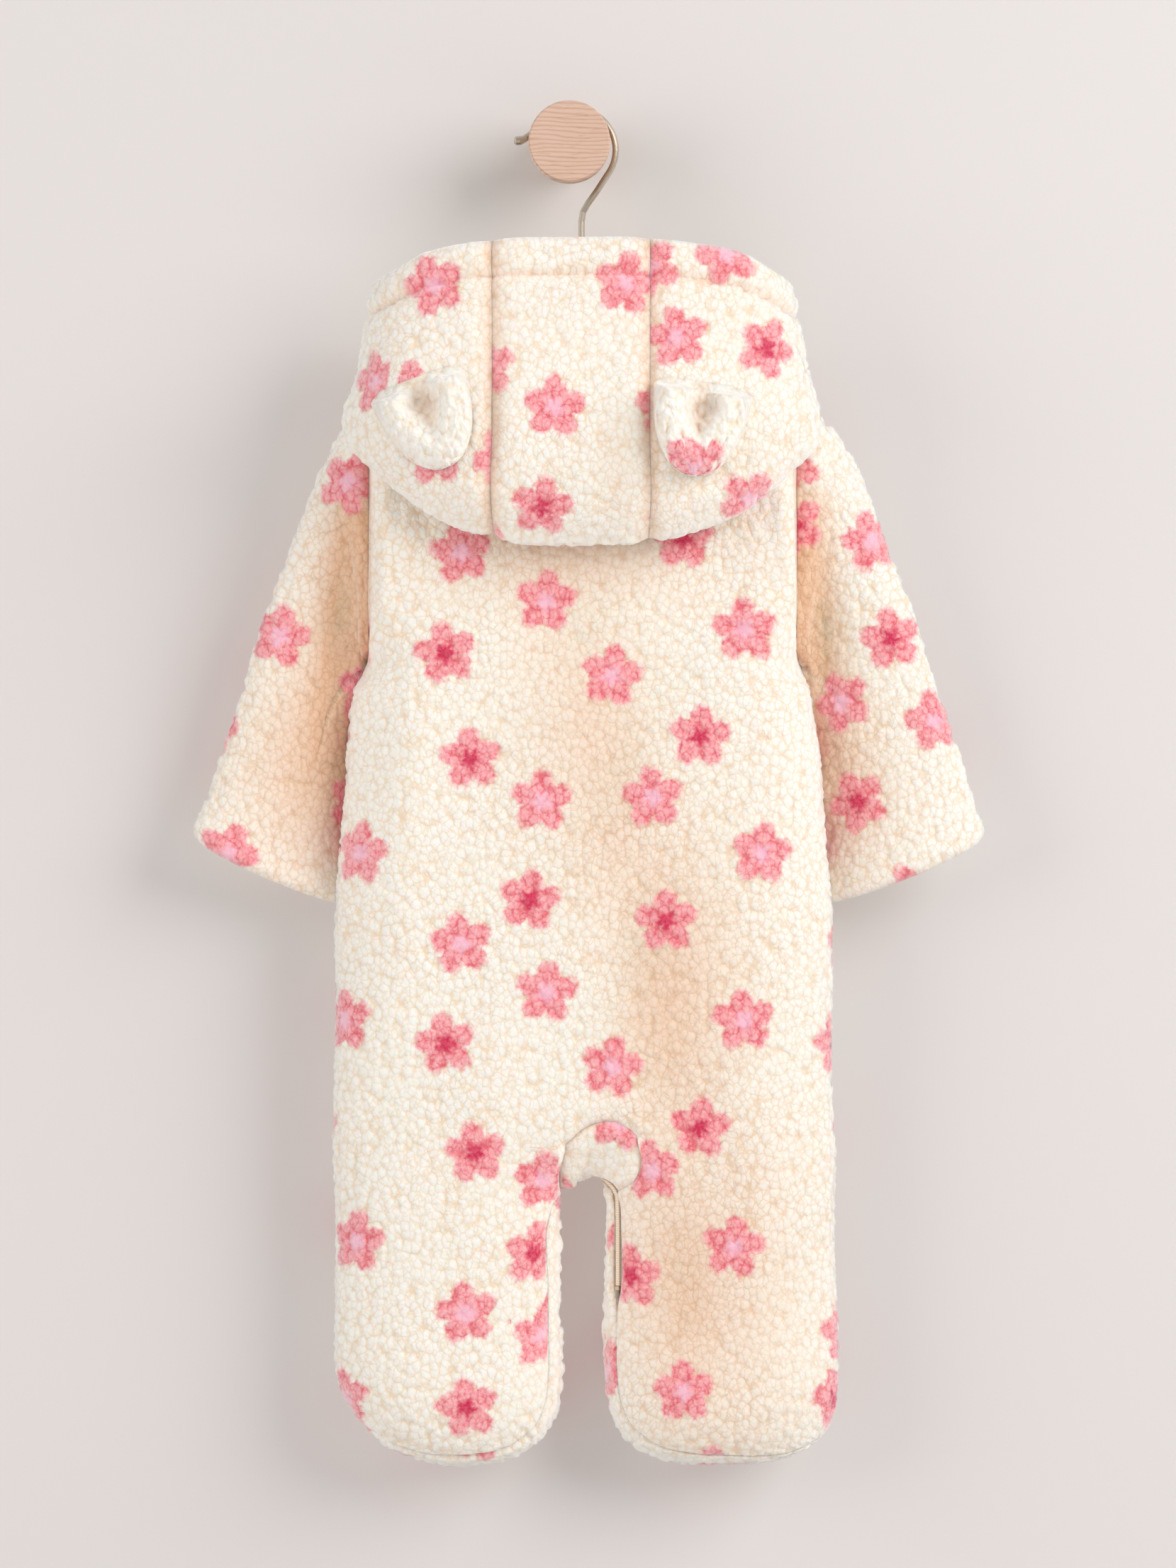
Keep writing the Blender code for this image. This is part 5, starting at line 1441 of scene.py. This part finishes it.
def body_panel(name, grids, sides, fine, folds=()):
    """A sewn panel of the body; sides says which outer edges of its trunk are outline seams."""
    trunk, legs = grids[0], grids[1:]
    made = body_grids(trunk, legs, fine)
    main = made[0]["points"]
    top = main[0]
    neck = np.abs(top[:, 0] - SUIT_X) < NECK_WIDTH
    lines = [("side", top[neck]), ("side", top[~neck])]
    for edge in (main[:, column] for column in sides):
        hole = edge[:, 2] > ARM_FOOT
        lines += [("armhole", edge[hole]), ("side", edge[~hole])]
    if legs:
        start = made[1]["points"].shape[1] - 1
        stop = main.shape[1] - (made[2]["points"].shape[1] - 1 if len(legs) > 1 else 0)
        lines.append(("gusset", main[-1, start:stop]))
    if sides == (0,):
        lines.append(("zip", main[:, -1]))
    column = int(np.argmin(np.abs(main[len(main) // 3, :, 0] - SUIT_X)))
    # only the back gets the broad patches of painted shade
    deep = painted_shade_on_back if folds else None
    body = prepared(name, made[0], lines, column, len(main) - 1, folds=folds, deep=deep)
    pieces = [body]
    for (_, end), part in zip(legs, made[1:]):
        points = part["points"]
        width = points.shape[1]
        seams = [("side", points[:, 0]), ("side", points[:, -1]), ("side", points[-1])] + lines[2:]
        start = end(body["across"][-1], width)[width // 2]
        sewn_on = prepared(name, part, seams, width // 2, 0, start=start, folds=folds, deep=deep)
        sewn_on["lift"][0] = end(body["lift"][-1], width)
        pieces.append(sewn_on)
    return sewn(name, pieces)


trunk, left, right = back_panel_grids()
back = body_panel("back_panel", [trunk, (left, left_end), (right, right_end)], (0, -1), FINE["back"],
                  BACK_FOLDS)

# %% Fronts and gusset
trunk, left = front_left_grids()
front_l = body_panel("front_left", [trunk, (left, left_end)], (0,), FINE["front"])
front_r = body_panel("front_right", [front_right_grids()], (0,), FINE["front"])

grid = fine_cloth(crotch_gusset_grids())
points = grid["points"]
seams = [("gusset", points[0]), ("gusset", points[-1]), ("zip", points[:, -1]),
         ("side", points[:, 0])]
gusset = sewn("crotch_gusset", [prepared("crotch_gusset", grid, seams, points.shape[1] // 2, 0)])

# %% [markdown]
# ## Sleeves
#
# A sleeve is a tube, flat as it hangs, with a soft hollow beside the body, which gets painted
# shade, tanned on both faces of the sleeve. Its hem is turned in and puffs up; there is no
# stitching to see.

# %% Sleeves
# its side of the body, how strong and how wide the painted shade in the hollow beside the
# body is, and its folds
SLEEVES = dict(
    sleeve_left=dict(side=-1, warm=1.0, wide=0.030, folds=table(
        "start end width rise",
        ((-0.118, -0.200), (-0.122, -0.330), 0.012, -0.0040),
        ((-0.140, -0.180), (-0.165, -0.290), 0.014, 0.0020))),
    sleeve_right=dict(side=1, warm=0.85, wide=0.019, folds=table(
        "start end width rise",
        ((0.130, -0.190), (0.134, -0.300), 0.012, -0.0040),
        ((0.150, -0.180), (0.178, -0.290), 0.014, 0.0020))))


def sleeve_piece(name, side, warm, wide, folds):
    """A sewn sleeve with its hem, its folds and the painted shade of its hollow beside the body."""
    grid = fine_cloth(sleeve_grid(side))
    points = grid["points"]
    middle, quarter = len(points) // 2, points.shape[1] // 4
    facing = quarter if points[middle, quarter, 1] < SUIT_Y else 3 * points.shape[1] // 4

    # painted shade: tanned on both faces of the sleeve next to the body's edge, between the heights
    # -0.165 and -0.42, widening downwards
    def painted_shade_beside_body(points):
        x, z = points[..., 0] - SUIT_X, points[..., 2]
        out = np.maximum(np.abs(x) - half(x, z), 0)
        down = ease((z + 0.42) / 0.10) * ease((-0.165 - z) / 0.04)
        widening = wide * (0.7 + 0.9 * np.clip((-0.2 - z) / 0.12, 0, 1))
        return warm * np.exp(-(out / widening) ** 2) * down

    lines = [("sleeve", points[0]), ("hem", points[-1])]
    return sewn(name, [prepared(name, grid, lines, facing, middle, folds=folds, deep=painted_shade_beside_body)])


sleeve_l, sleeve_r = (sleeve_piece(name, **row) for name, row in SLEEVES.items())

# %% [markdown]
# ## The hood
#
# Three panels, joined by two seams that run from the rim over the crown. These furrows are
# the widest of the suit. The rim is a hem 20 mm wide, with its line of stitches showing as
# a furrow of its own.

# %% Hood
HEM_WIDE = 0.020
HOOD_FOLDS = table("start end width rise",
                   ((-0.060, -0.178), (-0.030, -0.196), 0.008, 0.0016),
                   ((0.060, -0.182), (0.085, -0.165), 0.009, -0.0016),
                   ((-0.095, -0.100), (-0.075, -0.150), 0.014, 0.0014),
                   ((0.020, -0.150), (0.026, -0.195), 0.010, -0.0014))


def hood_piece(name, start, end, columns, seams):
    """A sewn panel of the hood; seams names its sewn sides and gives their columns."""
    grid = hood_grid(np.linspace(start, end, columns + 1))
    grid = fine_cloth(nudge(grid, **{side: SEAM / 2 for side in seams}))
    points = grid["points"]
    count = points.shape[1]
    rim = np.cumsum(np.linalg.norm(np.diff(points[::-1], axis=0), axis=-1), 0)
    stitched = len(points) - 1 - np.argmax(rim > HEM_WIDE, axis=0)
    lines = [("panel", points[:, column]) for column in seams.values()]
    lines += [("hem", points[-1]), ("side", points[0]),
              ("stitch", points[stitched, np.arange(count)])]
    column = count // 2 if len(seams) > 1 else list(seams.values())[0] % count
    return sewn(name, [prepared(name, grid, lines, column, len(points) - 1, folds=HOOD_FOLDS)])


nape = len(HOOD) - 1
left_seam, right_seam = nape + HOOD_SEAMS[0], nape + HOOD_SEAMS[1]
PANELS = table("name start end columns seams",
               ("hood_left", 0, left_seam, HOOD_COLUMNS, dict(right=-1)),
               ("hood_centre", left_seam, right_seam, CENTRE_COLUMNS, dict(left=0, right=-1)),
               ("hood_right", right_seam, 2 * nape, HOOD_COLUMNS, dict(left=0)))
hood_l, hood_c, hood_r = (hood_piece(**row) for row in PANELS)

# %% [markdown]
# ## The ears
#
# An ear is two layers sewn together and turned, so its rim is a fat roll round a hollow. It
# lies on the hood and hangs from its upper edge.

# %% The shape of an ear
EAR = dict(width=0.052, drop=0.050)
# the middle of each ear from left to right, the height of its root and its turn in degrees
EARS = dict(ear_left=dict(x=-0.0720, z=-0.1265, turn=20),
            ear_right=dict(x=0.0670, z=-0.1285, turn=-8))
# the roll: its width at the sides and at the lower end, its height, and the hollow's height
RIM = dict(side=0.0094, end=0.0140, high=0.0082, hollow=0.0042)
EAR_ROWS, EAR_COLUMNS = 22, 33
EAR_PILE = 1.9               # it is longer and fluffier there
EAR_GRAIN = 40               # the column that keeps its place when an ear is laid flat


def ear_width(v):
    """Half the width of an ear at share v of its drop, rounded below and a little above."""
    upper = 1 - np.clip(v / 0.14, 0, 1)
    rounding = 1 - 0.26 * (1 - np.sqrt(1 - upper ** 2))
    return EAR["width"] / 2 * (0.93 * np.sqrt(1 - v ** 2.6) + 0.07 * (1 - v)) * rounding


def ear_roll(x, z):
    """How high the rim's roll stands at a place of the ear, 0 to 1."""
    v = np.linspace(0, 1, 160)
    edge = np.stack([ear_width(v), -v * EAR["drop"]], -1)
    edge = np.concatenate([edge * [-1, 1], edge])
    wide = RIM["side"] + (RIM["end"] - RIM["side"]) * np.clip(-z / EAR["drop"], 0, 1) ** 2
    far = np.sqrt(((np.stack([x, z], -1)[..., None, :] - edge) ** 2).sum(-1)).min(-1) / wide
    rise = np.sqrt(np.clip(1 - (1 - far) ** 2, 0, 1))
    fall = np.cos(np.clip((far - 1) / 1.3, 0, 1) * math.pi / 2) ** 2
    return np.where(far < 1, rise, fall) * np.sqrt(np.clip(-z / 0.006, 0, 1))


def hood_below(x, z, pieces):
    """How far forward the hood lies under each place, smoothed so that the ear spans its seam."""
    graph = bpy.context.evaluated_depsgraph_get()
    trees = [BVHTree.FromObject(piece, graph) for piece in pieces]
    below = np.empty(x.shape)
    for i, j in np.ndindex(x.shape):
        start = Vector((x[i, j], -0.3, z[i, j]))
        hits = [tree.ray_cast(start, Vector((0, 1, 0)))[0] for tree in trees]
        below[i, j] = min([hit.y for hit in hits if hit is not None] or [below[i - 1, j]])
    for _ in range(12):
        padded = np.pad(below, 1, mode="edge")
        below = (padded[:-2, 1:-1] + padded[2:, 1:-1] + padded[1:-1, :-2] + padded[1:-1, 2:]) / 4
    return below


# %% Ears
def ear_piece(name, x, z, turn, hood_pieces):
    """A cupped flap that follows the hood below it, with its root sunk in the hood's pile."""
    down = np.sin(np.linspace(0, 1, EAR_ROWS) * math.pi / 2)[:, None] * 0.995
    across = np.sin(np.linspace(-1, 1, EAR_COLUMNS) * math.pi / 2)[None, :]
    own_x, own_z = across * ear_width(down), -down * EAR["drop"] + 0 * across
    root_x = x - EAR["drop"] / 2 * math.sin(math.radians(turn))
    out_x, out_z = rotated(own_x, own_z, turn)
    out_x, out_z = out_x + root_x, out_z + z
    below = hood_below(out_x, out_z, hood_pieces)
    roll = ear_roll(own_x, own_z)
    rise = RIM["hollow"] + RIM["high"] * roll
    proud = ease(-own_z / (0.030 - 0.024 * roll))
    outer = np.stack([out_x, below + 0.0016 - (0.0050 + rise) * proud, out_z], -1)
    inner = np.stack([out_x, below + 0.0022 - 0.0040 * proud, out_z], -1)

    # painted shade in the ear's hollow: tanned inside its roll, fading out near its tip
    def hollow(points):
        own_x, own_z = rotated(points[..., 0] - root_x, points[..., 2] - z, -turn)
        lower = ease((own_z + EAR["drop"]) / 0.025)
        return np.clip(1 - 1.6 * ear_roll(own_x, own_z), 0, 1) * lower * 0.45

    grid = fine_cloth((outer, inner), FINE["ear"])
    return sewn(name, [prepared(name, grid, [], EAR_GRAIN, 0, long=EAR_PILE, deep=hollow)])


ear_l = ear_piece("ear_left", **EARS["ear_left"], hood_pieces=(hood_l, hood_c))
ear_r = ear_piece("ear_right", **EARS["ear_right"], hood_pieces=(hood_r, hood_c))

# %% [markdown]
# ## What the cloth is
#
# Each sewn piece is listed with the size of the rectangle it is cut from. Its flat area is
# estimated from the pile side and printed. The knobs make that 4 to 12% larger on all but the
# gusset, and it runs along the outside of a thick wall, so it is divided by 1.12. The ears have
# a filling, so no rectangle is given for them.

LARGER = 1.12                # the pile side, against the flat cut
# the rectangle that each piece is cut from; an ear has none
CUT_FROM = table("node piece flat",
                 ("back_panel", back, (0.300, 0.640)), ("front_left", front_l, (0.165, 0.620)),
                 ("front_right", front_r, (0.165, 0.620)), ("crotch_gusset", gusset, (0.075, 0.060)),
                 ("sleeve_left", sleeve_l, (0.235, 0.260)), ("sleeve_right", sleeve_r, (0.240, 0.265)),
                 ("hood_left", hood_l, (0.190, 0.250)), ("hood_centre", hood_c, (0.095, 0.300)),
                 ("hood_right", hood_r, (0.190, 0.250)),
                 ("ear_left", ear_l, None), ("ear_right", ear_r, None))
for row in CUT_FROM:
    piece, flat = row["piece"], row["flat"]
    if flat is None:
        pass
    else:
        pile_side = sum(face.area for face in piece.data.polygons if face.material_index == 0)
        area = min(pile_side / LARGER, flat[0] * flat[1])
        print(row["node"], "cut area", round(area * 1e4), "cm2 of", round(flat[0] * flat[1] * 1e4))
    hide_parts(row["node"])
    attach(piece, SUIT)

# %% [markdown]
# ## Wood, metal and the zip
#
# The peg is turned from pale wood, and its disc shows the grain edge on: thin wavy lines,
# almost level. The hook is plated wire, so its finish is the reflection of the room with
# only the slightest brushing along it. The zip is cream thread: woven tapes, and a nylon
# coil for its chain, with a brass slider, tab and stop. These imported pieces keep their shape.

# %% Wood, wire and zip finishes
def wood():
    """Pale wood with level grain and darker flecks."""
    made, recipe = new_material("pale_beech")
    place = recipe.place()
    stretched = recipe.vector("MULTIPLY", place, (16.0, 16.0, 60.0))
    drift = recipe.noise(stretched, 1.0, 3.0)
    height = recipe.add("ShaderNodeSeparateXYZ", values=(place,), output=2)
    rings = recipe.add("ShaderNodeMath", dict(operation="SINE"), (height * 2700.0 + drift * 26.0,))
    flecks = recipe.noise(recipe.vector("MULTIPLY", place, (140.0, 140.0, 1500.0)), 1.0, 2.0)
    line = (rings * 0.5 + 0.5) ** 3.0
    colour = recipe.mix(drift, tint(226, 196, 178), tint(215, 179, 158))
    colour = recipe.mix(line * 0.55, colour, tint(190, 146, 120))
    colour = recipe.mix(recipe.step(flecks, 0.56, 0.72) * 0.30, colour, tint(176, 124, 94))
    finish_material(recipe, {"Base Color": colour, "Roughness": 0.55 + line * 0.12,
                             "Normal": recipe.bump(flecks - line * 0.4, 0.25, 0.0003),
                             "Specular IOR Level": 0.35})
    return made


def metal(name, colour, rough):
    """Plated metal, brushed along its length and a little smudged."""
    made, recipe = new_material(name)
    place = recipe.place()
    brushed = recipe.noise(recipe.vector("MULTIPLY", place, (300.0, 300.0, 2600.0)), 1.0, 2.0)
    smudge = recipe.noise(place, 90.0, 2.0)
    finish_material(recipe, {"Base Color": recipe.mix(smudge, colour, tint(196, 180, 160)),
                             "Metallic": 1.0, "Roughness": rough + smudge * 0.12,
                             "Normal": recipe.bump(brushed, 0.08, 0.0001)})
    return made


def woven(name, direction, ribs, dark, light):
    """Cream thread in ribs: a zip's tape, or the nylon coil of its chain."""
    made, recipe = new_material(name)
    weave = recipe.add("ShaderNodeTexWave", dict(bands_direction=direction),
                       {"Vector": recipe.place(), "Scale": ribs, "Distortion": 0.5})
    finish_material(recipe, {"Base Color": recipe.mix(weave, dark, light), "Roughness": 0.8,
                             "Normal": recipe.bump(weave, 0.4, 0.0003)})
    return made


WOOD = wood()
TAPE_CLOTH = woven("woven_tape", "DIAGONAL", 620.0, tint(246, 230, 208), tint(255, 248, 234))
COIL = woven("nylon_coil", "Z", 260.0, tint(234, 214, 188), tint(252, 238, 218))
WIRE = metal("plated_wire", tint(216, 206, 192), 0.20)
BRASS = metal("zip_brass", tint(204, 186, 158), 0.30)


FINISHES = {WOOD: ["wall_peg"], WIRE: ["hanger_hook", "hanger_bar"], COIL: ["zip_chain"],
            BRASS: ["zip_stop", "zip_slider", "zip_pull"],
            TAPE_CLOTH: ["zip_tape_left", "zip_tape_right"]}
for finish, nodes in FINISHES.items():
    for node in nodes:
        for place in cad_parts[node].material_slots:
            place.material = finish
    print(finish.name, "on", ", ".join(nodes))

# %% [markdown]
# ## The room
#
# A pale wall and floor, and soft light from large panels: the main one high on the right, a
# weaker one on the left, and a little from all round. The wall is seen only from the front.
# It stops no light and throws none back, so a third panel behind it lights the suit's own
# front, for whoever looks from there.

# %% Wall and floor
def room_paint(name, colour):
    """Matt paint that is seen from the front only."""
    made, recipe = new_material(name)
    paint = recipe.add("ShaderNodeBsdfDiffuse", values={"Color": colour})
    clear = recipe.add("ShaderNodeBsdfTransparent")
    behind = recipe.add("ShaderNodeNewGeometry", output="Backfacing")
    both = recipe.add("ShaderNodeMixShader", values=(behind, paint, clear))
    recipe.add("ShaderNodeOutputMaterial", values={"Surface": both})
    return made


def room_plane(name, corners, material):
    """A plane of the room, which isn't part of the object."""
    mesh = bpy.data.meshes.new(name)
    mesh.from_pydata(corners, [], [(0, 1, 2, 3)])
    mesh.materials.append(material)
    plane = bpy.data.objects.new(name, mesh)
    bpy.context.scene.collection.objects.link(plane)
    return plane


WIDE, TALL = 4, 3            # half the width of the wall and its upper edge
WALL_Y = 0.0005              # just behind the peg
NEAR, FLOOR = -6, -0.95      # front edge of the floor and its height
wall = room_plane("room_wall", [(-WIDE, WALL_Y, FLOOR), (WIDE, WALL_Y, FLOOR),
                                (WIDE, WALL_Y, TALL), (-WIDE, WALL_Y, TALL)],
                  room_paint("wall_paint", tint(226, 222, 221)))
floor = room_plane("room_floor", [(-WIDE, NEAR, FLOOR), (WIDE, NEAR, FLOOR),
                                  (WIDE, WALL_Y, FLOOR), (-WIDE, WALL_Y, FLOOR)],
                   room_paint("floor_paint", tint(230, 226, 223)))
wall.visible_shadow = False
wall.visible_diffuse = False

# %% Light
world = bpy.data.worlds.new("room")
bpy.context.scene.world = world
world.use_nodes = True
sky = world.node_tree.nodes["Background"].inputs
sky["Color"].default_value = (0.99, 0.993, 1.0, 1.0)
sky["Strength"].default_value = 0.46
AIM = Vector((0.0, -0.05, -0.35))     # what the lamps point at
LAMP_SIZE = 2.4
LAMPS = table("name at power colour",
              ("main", (2.3, -1.7, 0.9), 64.0, (1.0, 0.985, 0.965)),
              ("behind", (-0.9, 2.8, 0.5), 34.0, (1.0, 0.985, 0.965)),
              ("fill", (-2.5, -1.5, 0.3), 30.0, (1.0, 0.965, 0.93)))
for row in LAMPS:
    panel = bpy.data.lights.new(row["name"], "AREA")
    panel.shape, panel.size = "DISK", LAMP_SIZE
    panel.energy, panel.color = row["power"], row["colour"]
    light = bpy.data.objects.new(row["name"], panel)
    light.location = row["at"]
    light.rotation_euler = (AIM - light.location).to_track_quat("-Z", "Y").to_euler()
    bpy.context.scene.collection.objects.link(light)

view = bpy.context.scene.view_settings
view.view_transform = "Standard"
view.look = "None"
